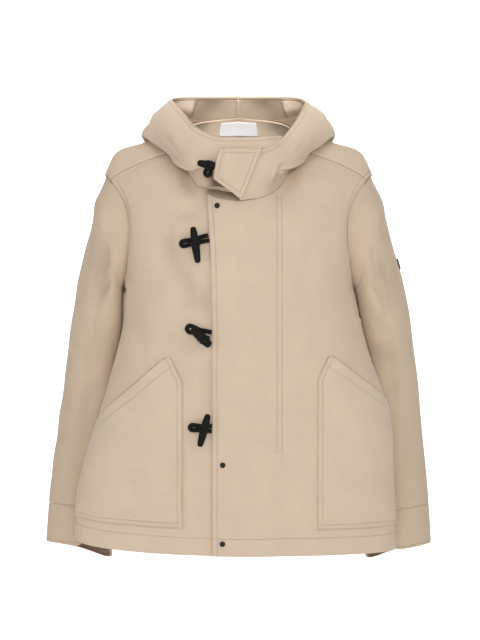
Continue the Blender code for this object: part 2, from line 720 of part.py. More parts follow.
def make_toggle(number, toggle, back_y):
    """One tapered horn toggle whose back touches back_y."""
    start = Vector((toggle.start[0], 0.0, toggle.start[1]))
    end = Vector((toggle.end[0], 0.0, toggle.end[1]))
    count = 11
    points = []
    radii = []
    for i in range(count):
        share = i / (count - 1)
        body = 1.0 - min(abs(share - toggle.thick) / max(toggle.thick, 1.0 - toggle.thick), 1.0) ** 2
        radius = mix(TOGGLE_TIP, TOGGLE_THICK, body)
        if i in (0, count - 1):
            radius *= 0.62
        point = mix(start, end, share)
        point.y = back_y - TOGGLE_THICK
        points.append(point)
        radii.append(radius)
    tube(f"toggle_{number}", points, radii, HORN, resolution=3)


def make_sleeve_tab():
    """A small plain tab on the outside of the left upper arm."""
    rows = []
    for i in range(3):
        along = mix(0.244, 0.270, i / 2)
        rows.append([sleeve_point(along, angle) for angle in (58.0, 78.0, 98.0, 117.0)])
    cloth("sleeve_tab", moved_out(rows, 0.5 * (WALL + 0.0020) + 0.0010), DARK_CLOTH, 0.0020)


clear_scene()
PARKA = make_collection()
make_fronts()
make_back()
make_sleeves()
make_hood()
make_throat_tab()
make_hood_tape()
make_neck_label()
make_pockets()
make_snaps()
make_toggles()
make_sleeve_tab()
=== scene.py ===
import logging
import math
from dataclasses import dataclass, field
from enum import Enum
from typing import Callable, Optional, Sequence, Union

import bpy
import numpy as np
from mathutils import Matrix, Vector
from mathutils.bvhtree import BVHTree


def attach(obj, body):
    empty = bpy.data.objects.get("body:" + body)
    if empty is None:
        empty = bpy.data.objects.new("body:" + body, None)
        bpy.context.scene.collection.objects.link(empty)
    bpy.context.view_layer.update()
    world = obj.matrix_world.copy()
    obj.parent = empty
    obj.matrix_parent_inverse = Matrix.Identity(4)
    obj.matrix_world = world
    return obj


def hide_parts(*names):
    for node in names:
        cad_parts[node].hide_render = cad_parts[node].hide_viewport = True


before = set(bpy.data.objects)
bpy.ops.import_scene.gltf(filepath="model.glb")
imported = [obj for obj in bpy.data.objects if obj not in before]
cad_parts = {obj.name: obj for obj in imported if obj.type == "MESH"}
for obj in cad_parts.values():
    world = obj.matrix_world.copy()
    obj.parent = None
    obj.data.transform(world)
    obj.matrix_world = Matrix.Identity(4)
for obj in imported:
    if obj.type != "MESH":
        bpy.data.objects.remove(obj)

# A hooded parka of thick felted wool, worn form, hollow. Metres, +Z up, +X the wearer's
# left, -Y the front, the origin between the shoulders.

Points = np.ndarray
Number = Union[float, np.ndarray]
log = logging.getLogger("parka")


class Side(Enum):
    """A side of the wearer."""
    LEFT = 1
    RIGHT = -1

    @property
    def word(self) -> str:
        """The side's name in a node's name."""
        return self.name.lower()


class Held(Enum):
    """How a sheet of cloth is held."""
    HUNG = "hung"
    LAID = "laid"


# ---- numbers ---------------------------------------------------------------------------
def mix(a: Number, b: Number, share: Number) -> Number:
    """The value at share of the way from a to b."""
    return a + (b - a) * share


def smooth(low: float, high: float, value: Number) -> Number:
    """0 below low, 1 above high, and a soft step between."""
    share = np.clip((value - low) / (high - low), 0.0, 1.0)
    return share * share * (3.0 - 2.0 * share)


def spline(keys: Sequence[float], values: Sequence, key: Number) -> Points:
    """A smooth curve through values at rising keys.

    Args:
        keys: the places of the values.
        values: one number or one vector for each key, or for each key one vector for each
            of the places asked for.
        key: the places to read, in a flat array.

    Returns:
        The values there, one for each place.
    """
    keys = np.asarray(keys, float)
    key = np.atleast_1d(np.asarray(key, float))
    table = np.asarray(values, float)
    last = len(keys) - 1
    first = np.clip(np.searchsorted(keys, key, side="left") - 1, 0, last - 1)
    everyone = np.arange(len(key))

    def pick(index: Points) -> Points:
        """The values at these keys."""
        return table[index, everyone] if table.ndim == 3 else table[index]

    def fit(number: Points) -> Points:
        """One number for each place, shaped to multiply the values."""
        return number if table.ndim == 1 else number[:, None]

    def slope(index: Points) -> Points:
        """The curve's slope at these keys.

        Args:
            index: the numbers of the keys.

        Returns:
            The slopes.
        """
        before = np.maximum(index - 1, 0)
        after = np.minimum(index + 1, last)
        return (pick(after) - pick(before)) / fit(keys[after] - keys[before])

    span = keys[first + 1] - keys[first]
    t = (key - keys[first]) / span
    blend = fit(t * t * (3 - 2 * t))
    pull_in = slope(first) * fit(span * t * (1 - t) ** 2)
    pull_out = slope(first + 1) * fit(span * t * t * (t - 1))
    return pick(first) + (pick(first + 1) - pick(first)) * blend + pull_in + pull_out


def unit(vectors: Points) -> Points:
    """The vectors made one long."""
    return vectors / np.maximum(np.linalg.norm(vectors, axis=-1, keepdims=True), 1e-12)


def column(rows: Sequence, name: str) -> list:
    """One named field of each row."""
    return [getattr(row, name) for row in rows]


def from_line(points: Points, line: Points) -> tuple[Points, Points, Points]:
    """Where points lie against a bent line.

    Args:
        points: places, in two or three dimensions.
        line: the line's corners, in the same dimensions.

    Returns:
        The distance of each point, the length along the line to its foot, and the side
        that it lies on (1 or -1, two dimensions only).
    """
    best = np.full(len(points), np.inf)
    along = np.zeros(len(points))
    hand = np.ones(len(points))
    run = 0.0
    for start, end in zip(line[:-1], line[1:]):
        step = end - start
        length = float(np.linalg.norm(step))
        if length < 1e-9:
            continue
        offset = points - start
        share = np.clip(offset @ step / length ** 2, 0.0, 1.0)
        gap = np.linalg.norm(offset - share[:, None] * step, axis=1)
        nearer = gap < best
        best = np.where(nearer, gap, best)
        along = np.where(nearer, run + share * length, along)
        if points.shape[1] == 2:
            cross = step[0] * offset[:, 1] - step[1] * offset[:, 0]
            hand = np.where(nearer, np.where(cross >= 0, 1.0, -1.0), hand)
        run += length
    return best, along, hand


@dataclass(frozen=True)
class Fold:
    """A soft trough (depth below 0) or ridge in a piece of cloth.

    path runs over the piece's chart, in metres. A second, shallower wave of the other sign
    runs beside it, on its left, as echo says.
    """
    path: tuple
    depth: float
    width: float
    echo: float = 0.0
    fade: float = 0.04

    def lift(self, chart: Points) -> Points:
        """How far the fold moves the points of a chart out.

        Args:
            chart: the points.

        Returns:
            The lift at each point.
        """
        line = np.array(self.path, float)
        gap, along, hand = from_line(chart, line)
        total = float(np.linalg.norm(np.diff(line, axis=0), axis=1).sum())
        fade = min(self.fade, 0.45 * total)
        ends = smooth(0.0, fade, along) * smooth(0.0, fade, total - along)
        signed = gap * hand
        wave = np.exp(-(signed / self.width) ** 2)
        wave -= self.echo * np.exp(-((signed - 1.7 * self.width) / self.width) ** 2)
        return self.depth * wave * ends


def folded(folds: Sequence[Fold], chart: Points) -> Points:
    """The sum of all folds at the points of a chart."""
    return np.sum([fold.lift(chart) for fold in folds], axis=0) if folds else np.zeros(len(chart))


def waves(chart: Points, height: float, length: float, seed: int) -> Points:
    """A slow, uneven swell over a chart, as soft cloth has.

    Args:
        chart: the points.
        height: the largest lift, in metres.
        length: the usual length of a swell, in metres.
        seed: which swell.

    Returns:
        The lift at each point.
    """
    dice = np.random.default_rng(seed)
    total = np.zeros(len(chart))
    for _ in range(7):
        turn = dice.uniform(0.0, math.tau)
        size = length * dice.uniform(0.7, 1.6)
        way = np.array([math.cos(turn), math.sin(turn)])
        total += np.sin(chart @ way * math.tau / size + dice.uniform(0.0, math.tau))
    return total * height / 4.0


# ---- cloth -------------------------------------------------------------------------------
NO_LINE = 0.5            # the value of a stitch-line attribute where there is no line
NEAR_LINE = 0.012        # the reach of a stitch line's attribute
SEAM_LINE = 0.0018       # stitches this far beside a seam
TWIN_LINE = 0.0095       # the second row of twin stitching
TACK_ROW = 0.0009        # from row to row of a bar tack
SEWN_SHARE = 0.22        # how far a sewn edge's rim reaches, as a share of its half thickness
CUT_SHARE = 0.86         # how much of its rectangle a cut piece fills


@dataclass
class Cloth:
    """A sheet of cloth: rows of points through its middle, and what is sewn on it."""
    name: str
    points: Points
    closed: bool = False
    thickness: float = 0.0026
    hem: Optional[Points] = None
    near: Optional[Points] = None
    far: Optional[Points] = None
    shade: Optional[Points] = None
    sewn: tuple = ()
    inner_shade: float = 0.0

    @property
    def shape(self) -> tuple[int, int]:
        """Rows and columns."""
        return self.points.shape[0], self.points.shape[1]

    @property
    def flat(self) -> Points:
        """The points, one after the other."""
        return self.points.reshape(-1, 3)

    def normals(self) -> Points:
        """The outward direction at each point.

        Returns:
            The directions, in rows and columns.
        """
        p = self.points
        if self.closed:
            along = np.roll(p, -1, axis=1) - np.roll(p, 1, axis=1)
        else:
            along = np.gradient(p, axis=1)
        return unit(np.cross(along, np.gradient(p, axis=0)))

    def moved(self, lift: Points) -> "Cloth":
        """Push each point out along its normal by its own lift."""
        self.points = self.points + self.normals() * lift.reshape(*self.shape, 1)
        return self

    def paint_trough_shade(self, lift: Points, strength: float, full: float = 0.008) -> "Cloth":
        """Paint shade into the troughs of the folds, darker as they are deeper.

        Args:
            lift: how far each point was moved out.
            strength: the shade of a trough of the full depth.
            full: that depth.

        Returns:
            The cloth.
        """
        more = strength * np.clip(-lift.reshape(self.shape) / full, 0.0, 1.4)
        self.shade = more if self.shade is None else self.shade + more
        return self

    @staticmethod
    def inwards(values: Points, where: str) -> Points:
        """A view of rows and columns of vectors whose rows run inwards from an edge.

        Args:
            values: the vectors.
            where: the edge: bottom, top, start or end.

        Returns:
            The view.
        """
        turned = values if where in ("bottom", "top") else values.transpose(1, 0, 2)
        return turned if where in ("bottom", "start") else turned[::-1]

    def edge(self, where: str) -> Points:
        """The points of one edge: bottom, top, start or end.

        Args:
            where: the edge.

        Returns:
            Its points, the first one repeated at the end of a closed one.
        """
        line = self.inwards(self.points, where)[0]
        if self.closed and where in ("bottom", "top"):
            line = np.vstack([line, line[:1]])
        return line

    def distance(self, line: Points) -> Points:
        """Each point's distance to a line, in rows and columns."""
        return from_line(self.flat, line)[0].reshape(self.shape)

    def cut(self) -> tuple[float, float, float]:
        """The size that the sheet was cut to.

        Returns:
            The width and length of its rectangle, in metres, and the area of the cut.
        """
        p = np.concatenate([self.points, self.points[:, :1]], axis=1) if self.closed else self.points
        one = np.cross(p[1:, :-1] - p[:-1, :-1], p[:-1, 1:] - p[:-1, :-1])
        two = np.cross(p[1:, :-1] - p[1:, 1:], p[:-1, 1:] - p[1:, 1:])
        area = float(0.5 * (np.linalg.norm(one, axis=2).sum() + np.linalg.norm(two, axis=2).sum()))
        width = float(np.linalg.norm(np.diff(p, axis=1), axis=2).sum(axis=1).max())
        return width, area / (width * CUT_SHARE), area

    def stitched(self, lines: Sequence[tuple[Points, float]], far: bool = False) -> "Cloth":
        """Mark lines of stitches at set distances from edges.

        Args:
            lines: pairs of an edge and the stitches' distance from it.
            far: whether they are the outer lines of twin stitching.

        Returns:
            The cloth.
        """
        best = np.full(self.shape, NO_LINE)
        for line, away in lines:
            best = np.minimum(best, self.distance(line) - away)
        best = np.where(np.abs(best) > NEAR_LINE, NO_LINE, best)
        if far:
            self.far = best
        else:
            self.near = best
        return self

    def rolled(self, lines: Sequence[Points], dip: float = 0.0009, width: float = 0.0035) -> "Cloth":
        """Let the cloth dip where it is sewn to its neighbour.

        Args:
            lines: the sewn edges.
            dip: how deep it dips.
            width: how far the dip reaches.

        Returns:
            The cloth.
        """
        nearest = np.min([self.distance(line) for line in lines], axis=0)
        return self.moved(-dip * np.exp(-(nearest / width) ** 2))

    def loops(self) -> list[tuple[Points, Points]]:
        """The edge loops, with the cloth on their left.

        Returns:
            Indices into the points, for each loop.
        """
        rows, columns = self.shape
        index = np.arange(rows * columns).reshape(rows, columns)
        if self.closed:
            return [index[0], index[-1][::-1]]
        return [np.concatenate([index[0, :-1], index[:-1, -1], index[-1, :0:-1], index[:0:-1, 0]])]

    def mesh(self, steps: int = 4) -> bpy.types.Mesh:
        """The sheet as a solid with round edges.

        Args:
            steps: how many faces go round an edge.

        Returns:
            Its mesh, with its UV map and its marks for stitch lines and shade.
        """
        rows, columns = self.shape
        middle = self.flat.copy()
        normal = self.normals().reshape(-1, 3)
        more = np.zeros(len(middle)) if self.hem is None else self.hem.reshape(-1)
        half = 0.5 * (self.thickness + more)
        core = middle - normal * (0.5 * more)[:, None]
        reach = half * self._roundness()
        rims = []
        for loop in self.loops():
            tangent = unit(np.roll(middle[loop], -1, axis=0) - np.roll(middle[loop], 1, axis=0))
            outward = unit(np.cross(tangent, normal[loop]))
            core[loop] -= outward * reach[loop][:, None]
            rims.append((loop, outward))
        count = len(middle)
        parts = [core + normal * half[:, None], core - normal * half[:, None]]
        source = [np.arange(count), np.arange(count)]
        outer = self._faces()
        faces = [outer, outer[:, ::-1] + count]
        total = 2 * count
        for loop, outward in rims:
            rings = [loop]
            for step in range(1, steps):
                turn = math.pi * step / steps
                ring = (core[loop] + normal[loop] * (half[loop] * math.cos(turn))[:, None]
                        + outward * (reach[loop] * math.sin(turn))[:, None])
                parts.append(ring)
                source.append(loop)
                rings.append(np.arange(total, total + len(loop)))
                total += len(loop)
            rings.append(loop + count)
            for first, second in zip(rings[:-1], rings[1:]):
                faces.append(np.stack([first, second, np.roll(second, -1), np.roll(first, -1)], axis=1))
        mesh = bpy.data.meshes.new(self.name)
        mesh.from_pydata(np.concatenate(parts).tolist(), [], np.concatenate(faces).tolist())
        origin = np.concatenate(source)
        for title, values in (("line_near", self.near), ("line_far", self.far), ("shade", self.shade)):
            plain = 0.0 if title == "shade" else NO_LINE
            flat = np.full(count, plain) if values is None else values.reshape(-1)
            spread = flat[origin].astype(np.float32)
            if title == "shade":
                spread[count:2 * count] += self.inner_shade
            mesh.attributes.new(title, "FLOAT", "POINT").data.foreach_set("value", spread)
        self._map(mesh, origin)
        mesh.shade_smooth()
        mesh.validate()
        mesh.update()
        return mesh

    def _faces(self) -> Points:
        """The faces of one side, as rows of four indices into the points.

        Returns:
            The faces, with the outer side up.
        """
        rows, columns = self.shape
        row, step = np.meshgrid(np.arange(rows - 1) * columns,
                                np.arange(columns if self.closed else columns - 1), indexing="ij")
        corner, beside = (row + step).reshape(-1), (row + (step + 1) % columns).reshape(-1)
        return np.stack([corner, beside, beside + columns, corner + columns], axis=1)

    def _roundness(self) -> Points:
        """How far each point's rim reaches out, as a share of its half thickness.

        Returns:
            The shares, flat.
        """
        share = np.ones((*self.shape, 1))
        for where in self.sewn:
            self.inwards(share, where)[0] = SEWN_SHARE
        return share.reshape(-1)

    def _map(self, mesh: bpy.types.Mesh, origin: Points) -> None:
        """Give a mesh a UV map in metres along the rows and the columns.

        Args:
            mesh: the mesh.
            origin: the point of the sheet that each vertex comes from.
        """
        p = self.points
        across = np.linalg.norm(np.diff(p, axis=1, prepend=p[:, :1]), axis=2).cumsum(axis=1)
        up = np.linalg.norm(np.diff(p, axis=0, prepend=p[:1]), axis=2).cumsum(axis=0)
        places = np.stack([across.reshape(-1)[origin], up.reshape(-1)[origin]], axis=1)
        corners = np.empty(len(mesh.loops), dtype=np.int32)
        mesh.loops.foreach_get("vertex_index", corners)
        layer = mesh.uv_layers.new(name="cut")
        layer.data.foreach_set("uv", places[corners].astype(np.float32).reshape(-1))

    def tree(self) -> BVHTree:
        """A search tree over the sheet's outer face."""
        skin = self.points + self.normals() * 0.5 * self.thickness
        return BVHTree.FromPolygons(skin.reshape(-1, 3).tolist(), self._faces().tolist())

    def line_inside(self, where: str, away: float, first: float = 0.0, last: float = 1.0) -> Points:
        """A line on the outer face at a set distance inside an edge.

        Args:
            where: the edge.
            away: its distance.
            first: the share of the edge where it starts.
            last: the share of the edge where it ends.

        Returns:
            Its points.
        """
        inner, outward = self.inwards(self.points, where), self.inwards(self.normals(), where)
        edge = inner[0]
        if self.closed:
            flow = unit(np.roll(edge, -1, axis=0) - np.roll(edge, 1, axis=0))
        else:
            flow = unit(np.gradient(edge, axis=0))
        found = []
        last_column = inner.shape[1] - 1
        for i in range(int(first * last_column), int(round(last * last_column)) + 1):
            offset = inner[:, i] - edge[i]
            depth = np.linalg.norm(offset - (offset @ flow[i])[:, None] * flow[i], axis=1)
            j = int(np.searchsorted(depth[:60], away))
            if 0 < j < len(depth):
                share = (away - depth[j - 1]) / max(depth[j] - depth[j - 1], 1e-9)
                place = mix(inner[j - 1, i], inner[j, i], share)
                found.append(place + outward[j, i] * 0.5 * self.thickness)
        return np.array(found)


def finish_piece(name: str, mesh: bpy.types.Mesh, material: bpy.types.Material) -> bpy.types.Object:
    """Put a mesh in the scene as a piece that rides on the parka.

    Args:
        name: the piece's name.
        mesh: its mesh, in place.
        material: its finish.

    Returns:
        The piece.
    """
    mesh.materials.append(material)
    piece = bpy.data.objects.new(name, mesh)
    bpy.context.scene.collection.objects.link(piece)
    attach(piece, "root")
    log.info("%s: %d faces", name, len(mesh.polygons))
    return piece


# ---- materials ---------------------------------------------------------------------------
class Value:
    """A socket that carries a number, with the usual operators."""

    def __init__(self, maker: "Recipe", socket: bpy.types.NodeSocket) -> None:
        """Wrap a socket of a recipe."""
        self.maker = maker
        self.socket = socket

    def _with(self, operation: str, *others: Union["Value", float]) -> "Value":
        """One Math node on this value and others."""
        return self.maker.math(operation, self, *others)

    def __add__(self, other: Union["Value", float]) -> "Value":
        """Sum."""
        return self._with("ADD", other)

    def __radd__(self, other: float) -> "Value":
        """Sum, with the number first."""
        return self._with("ADD", other)

    def __sub__(self, other: Union["Value", float]) -> "Value":
        """Difference."""
        return self._with("SUBTRACT", other)

    def __rsub__(self, other: float) -> "Value":
        """Difference from a number."""
        return self.maker.math("SUBTRACT", other, self)

    def __mul__(self, other: Union["Value", float]) -> "Value":
        """Product."""
        return self._with("MULTIPLY", other)

    def __rmul__(self, other: float) -> "Value":
        """Product, with the number first."""
        return self._with("MULTIPLY", other)

    def __neg__(self) -> "Value":
        """The value turned round."""
        return self._with("MULTIPLY", -1.0)

    def __truediv__(self, other: Union["Value", float]) -> "Value":
        """Quotient."""
        return self._with("DIVIDE", other)

    def pulse(self, width: float) -> "Value":
        """1 where the value is 0, falling to 0 at about twice the width."""
        scaled = self / width
        return (-(scaled * scaled))._with("EXPONENT")

    def between(self, low: float, high: float) -> "Value":
        """A step from 0 at low to 1 at high."""
        return self.maker.node("ShaderNodeMapRange", {"clamp": True, "interpolation_type": "SMOOTHSTEP"},
                               {"Value": self, "From Min": low, "From Max": high})


class Recipe:
    """A material under construction."""

    def __init__(self, name: str) -> None:
        """Start a material with a Principled shader alone.

        Args:
            name: the material's name.
        """
        self.material = bpy.data.materials.new(name)
        self.material.use_nodes = True
        self.tree = self.material.node_tree
        self.shader = self.tree.nodes["Principled BSDF"]

    def _feed(self, socket: bpy.types.NodeSocket, value: object) -> None:
        """Link or set one input.

        Args:
            socket: the input.
            value: a value to link, or a number, colour or vector to set.
        """
        if isinstance(value, Value):
            self.tree.links.new(value.socket, socket)
        else:
            socket.default_value = value

    def node(self, kind: str, settings: dict, inputs: dict, output: Union[int, str] = 0) -> Value:
        """Add a node.

        Args:
            kind: the node's type.
            settings: its own settings, set first.
            inputs: values or links by socket name or number.
            output: which output to return.

        Returns:
            The output, wrapped.
        """
        made = self.tree.nodes.new(kind)
        for key, value in settings.items():
            setattr(made, key, value)
        for key, value in inputs.items():
            self._feed(made.inputs[key], value)
        return Value(self, made.outputs[output])

    def math(self, operation: str, *values: Union[Value, float]) -> Value:
        """One Math node."""
        return self.node("ShaderNodeMath", {"operation": operation}, dict(enumerate(values)))

    def place(self) -> Value:
        """Object coordinates."""
        return self.node("ShaderNodeTexCoord", {}, {}, "Object")

    def cut(self) -> Value:
        """The piece's own UV map, in metres."""
        return self.node("ShaderNodeUVMap", {"uv_map": "cut"}, {})

    def bands(self, place: Value, direction: str, scale: float, twist: float) -> Value:
        """Waves of 0 to 1 across a direction."""
        return self.node("ShaderNodeTexWave", {"bands_direction": direction},
                         {"Vector": place, "Scale": scale, "Distortion": twist}, "Fac")

    def mark(self, name: str) -> Value:
        """A named value of the piece."""
        return self.node("ShaderNodeAttribute", {"attribute_name": name}, {}, "Fac")

    def noise(self, place: Value, scale: float, detail: float, rough: float = 0.55,
              twist: float = 0.0) -> Value:
        """A noise of about 0 to 1."""
        return self.node("ShaderNodeTexNoise", {}, {"Vector": place, "Scale": scale, "Detail": detail,
                                                    "Roughness": rough, "Distortion": twist})

    def stretch(self, place: Value, scale: tuple, turn: tuple = (0.0, 0.0, 0.0)) -> Value:
        """Coordinates scaled and turned."""
        return self.node("ShaderNodeMapping", {}, {"Vector": place, "Scale": scale, "Rotation": turn})

    def blend(self, share: Value, low: Union[tuple, Value], high: Union[tuple, Value]) -> Value:
        """A colour between two; a Mix node's colours are its sockets 6 and 7, and its result is 2."""
        return self.node("ShaderNodeMix", {"data_type": "RGBA"}, {"Factor": share, 6: low, 7: high}, 2)

    def bump(self, height: Value, distance: float, strength: float = 1.0,
             under: Optional[Value] = None) -> Value:
        """A Bump node.

        Args:
            height: the relief.
            distance: its depth, in metres.
            strength: how much of it counts.
            under: a Bump node that it lies on.

        Returns:
            The bent normal.
        """
        inputs = {"Height": height, "Distance": distance, "Strength": strength}
        if under is not None:
            inputs["Normal"] = under
        return self.node("ShaderNodeBump", {}, inputs)

    def done(self, **sockets: object) -> bpy.types.Material:
        """Feed the shader's sockets, named with _ for a space.

        Args:
            **sockets: values or links.

        Returns:
            The material.
        """
        for key, value in sockets.items():
            self._feed(self.shader.inputs[key.replace("_", " ")], value)
        return self.material


def tone(red: float, green: float, blue: float) -> tuple[float, float, float, float]:
    """A colour from its 0-255 screen values."""
    return tuple(mix((c / 255.0) / 12.92, ((c / 255.0 + 0.055) / 1.055) ** 2.4, float(c > 10))
                 for c in (red, green, blue)) + (1.0,)


def darker(colour: tuple, share: float) -> tuple:
    """The same colour with its light cut to share."""
    return tuple(c * share for c in colour[:3]) + (1.0,)


@dataclass(frozen=True)
class Felt:
    """Thick felted wool: matt, faintly mottled, with a short nap and dips at its stitches."""
    name: str = "felt"
    colour: tuple = tone(214, 192, 170)
    mottle: float = 0.84
    groove: float = 0.0009
    dip: float = 0.00045

    def make(self) -> bpy.types.Material:
        """Mix the finish.

        Returns:
            Its material.
        """
        r = Recipe(self.name)
        place = r.place()
        cloud = r.noise(place, 22.0, 3.0)
        speck = r.noise(place, 520.0, 2.0, 0.65)
        fibre = r.noise(r.stretch(place, (1.0, 0.7, 2.6), (0.3, 0.2, 0.6)), 900.0, 3.0, 0.7, 1.4)
        lines = r.mark("line_near").pulse(self.groove) + r.mark("line_far").pulse(self.groove)
        blur = r.mark("line_near").pulse(3.2 * self.groove) + r.mark("line_far").pulse(3.2 * self.groove)
        soil = (1.0 - cloud) * 0.35 + (1.0 - speck) * 0.45 + (1.0 - fibre) * 0.25
        warm = r.noise(place, 9.0, 2.0, 0.5, 0.8).between(0.35, 0.65)
        cool = tuple(c * k for c, k in zip(self.colour, (0.985, 1.02, 0.985, 1.0)))
        dyed = r.blend(warm, self.colour, cool)
        base = r.blend(soil.between(0.25, 0.85), dyed, darker(self.colour, self.mottle))
        # Painted shade: the colour darkens in the stitch grooves and wherever the piece's shade mark is set.
        shadow = (lines * 0.10 + r.mark("shade") * 0.5).between(0.0, 1.0)
        colour = r.blend(shadow, base, darker(tone(150, 122, 96), 0.62))
        rough = 0.90 + speck * 0.10
        nap = r.bump(speck * 0.55 + fibre * 0.6, 0.00050, 0.55)
        height = 1.0 - lines * 0.7 - blur * 0.45
        normal = r.bump(height, self.dip * 2.0, 0.9, nap)
        return r.done(Base_Color=colour, Roughness=rough, Normal=normal, Sheen_Weight=0.22,
                      Sheen_Roughness=0.55, Sheen_Tint=(1.0, 0.93, 0.85, 1.0),
                      Specular_IOR_Level=0.18)


@dataclass(frozen=True)
class Weave:
    """A plain or twill woven tape, label or tab, patterned along its own UV map."""
    name: str
    colour: tuple
    pitch: float
    slant: float = 0.0
    roughness: float = 0.8
    sheen: float = 0.1

    def make(self) -> bpy.types.Material:
        """Mix the finish.

        Returns:
            Its material.
        """
        r = Recipe(self.name)
        turned = r.stretch(r.cut(), (1.0, 1.0, 1.0), (0.0, 0.0, math.radians(self.slant)))
        scale = 1.0 / (self.pitch * 1.6)
        warp = r.bands(turned, "X", scale, 0.2)
        weft = r.bands(turned, "Y", scale * 0.8, 0.2)
        fuzz = r.noise(r.place(), 900.0, 2.0)
        threads = warp * 0.6 + weft * 0.4
        colour = r.blend((threads * 0.6 + fuzz * 0.4).between(0.2, 0.8),
                         darker(self.colour, 0.80), self.colour)
        normal = r.bump(threads + fuzz * 0.4, 0.00025, 0.6)
        return r.done(Base_Color=colour, Roughness=self.roughness + fuzz * 0.1, Normal=normal,
                      Sheen_Weight=self.sheen, Specular_IOR_Level=0.25)


@dataclass(frozen=True)
class Horn:
    """Black polished horn with long streaks and a few rubbed places."""
    name: str = "horn"

    def make(self) -> bpy.types.Material:
        """Mix the finish.

        Returns:
            Its material.
        """
        r = Recipe(self.name)
        streak = r.noise(r.stretch(r.cut(), (260.0, 22.0, 1.0)), 1.0, 4.0, 0.6, 0.6)
        blot = r.noise(r.place(), 120.0, 3.0)
        colour = r.blend((streak * 0.7 + blot * 0.3).between(0.35, 0.8), tone(6, 6, 5), tone(20, 18, 15))
        rough = 0.50 + blot * 0.25
        normal = r.bump(streak * 0.8 + r.noise(r.place(), 700.0, 2.0) * 0.3, 0.00025, 0.5)
        return r.done(Base_Color=colour, Roughness=rough, Normal=normal, Specular_IOR_Level=0.20)


@dataclass(frozen=True)
class Braid:
    """A tight black braided cord, patterned along its own UV map."""
    name: str = "cord"

    def make(self) -> bpy.types.Material:
        """Mix the finish.

        Returns:
            Its material.
        """
        r = Recipe(self.name)
        cut = r.cut()
        one = r.bands(cut, "DIAGONAL", 260.0, 0.4)
        two = r.bands(r.stretch(cut, (-1.0, 1.0, 1.0)), "DIAGONAL", 260.0, 0.4)
        rows = r.math("MAXIMUM", one, two)
        colour = r.blend(rows.between(0.2, 0.95), tone(6, 6, 5), tone(22, 20, 18))
        normal = r.bump(rows, 0.0005, 0.8)
        return r.done(Base_Color=colour, Roughness=0.72 + (1.0 - rows) * 0.2, Normal=normal,
                      Sheen_Weight=0.05, Specular_IOR_Level=0.2)


@dataclass(frozen=True)
class SnapMetal:
    """Black enamelled metal, a little rubbed."""
    name: str = "snap"

    def make(self) -> bpy.types.Material:
        """Mix the finish.

        Returns:
            Its material.
        """
        r = Recipe(self.name)
        wear = r.noise(r.place(), 900.0, 3.0)
        colour = r.blend(wear.between(0.55, 0.8), tone(8, 8, 8), tone(26, 24, 22))
        return r.done(Base_Color=colour, Roughness=0.44 + wear * 0.2, Metallic=0.2,
                      Normal=r.bump(wear, 0.0001, 0.4))


@dataclass(frozen=True)
class Thread:
    """Twisted sewing thread in the cloth's colour."""
    name: str = "thread"
    colour: tuple = tone(196, 170, 145)

    def make(self) -> bpy.types.Material:
        """Mix the finish.

        Returns:
            Its material.
        """
        r = Recipe(self.name)
        twist = r.bands(r.place(), "DIAGONAL", 900.0, 0.5)
        colour = r.blend(twist, darker(self.colour, 0.75), self.colour)
        return r.done(Base_Color=colour, Roughness=0.7, Normal=r.bump(twist, 0.0001, 0.5),
                      Sheen_Weight=0.1)


@dataclass(frozen=True)
class Backdrop:
    """Plain pale paper, seen from its front only, so that it hides nothing from behind."""
    name: str = "backdrop"

    def make(self) -> bpy.types.Material:
        """Mix the finish.

        Returns:
            Its material.
        """
        r = Recipe(self.name)
        grain = r.noise(r.place(), 60.0, 2.0)
        colour = r.blend(grain, (0.90, 0.90, 0.90, 1.0), (0.93, 0.93, 0.93, 1.0))
        behind = r.node("ShaderNodeNewGeometry", {}, {}, "Backfacing")
        return r.done(Base_Color=colour, Roughness=0.9, Alpha=1.0 - behind)


# ---- the coat's forms ----------------------------------------------------------------------
@dataclass(frozen=True)
class Level:
    """A section of the body below the armpit."""
    z: float
    right: float
    left: float
    side_y: float
    front_y: float
    back_y: float


@dataclass(frozen=True)
class Height:
    """Places of the body's stations at one height above the armpit."""
    share: float
    cap: tuple
    mid: tuple
    neck: tuple
    half: tuple
    centre: tuple


@dataclass(frozen=True)
class Profile:
    """The hood's profile in one direction round the neck: distances from it and heights."""
    angle: float
    seam_r: float
    seam_z: float
    under_r: float
    under_z: float
    fold_r: float
    fold_z: float
    bulge_r: float
    bulge_z: float
    rim_r: float
    rim_z: float
    under_layer_rim_z: float


@dataclass(frozen=True)
class Ring:
    """A ring of the sleeve; its outer point leans out by lean degrees from straight up."""
    along: float
    x: float
    y: float
    z: float
    lean: float
    half_width: float
    half_depth: float


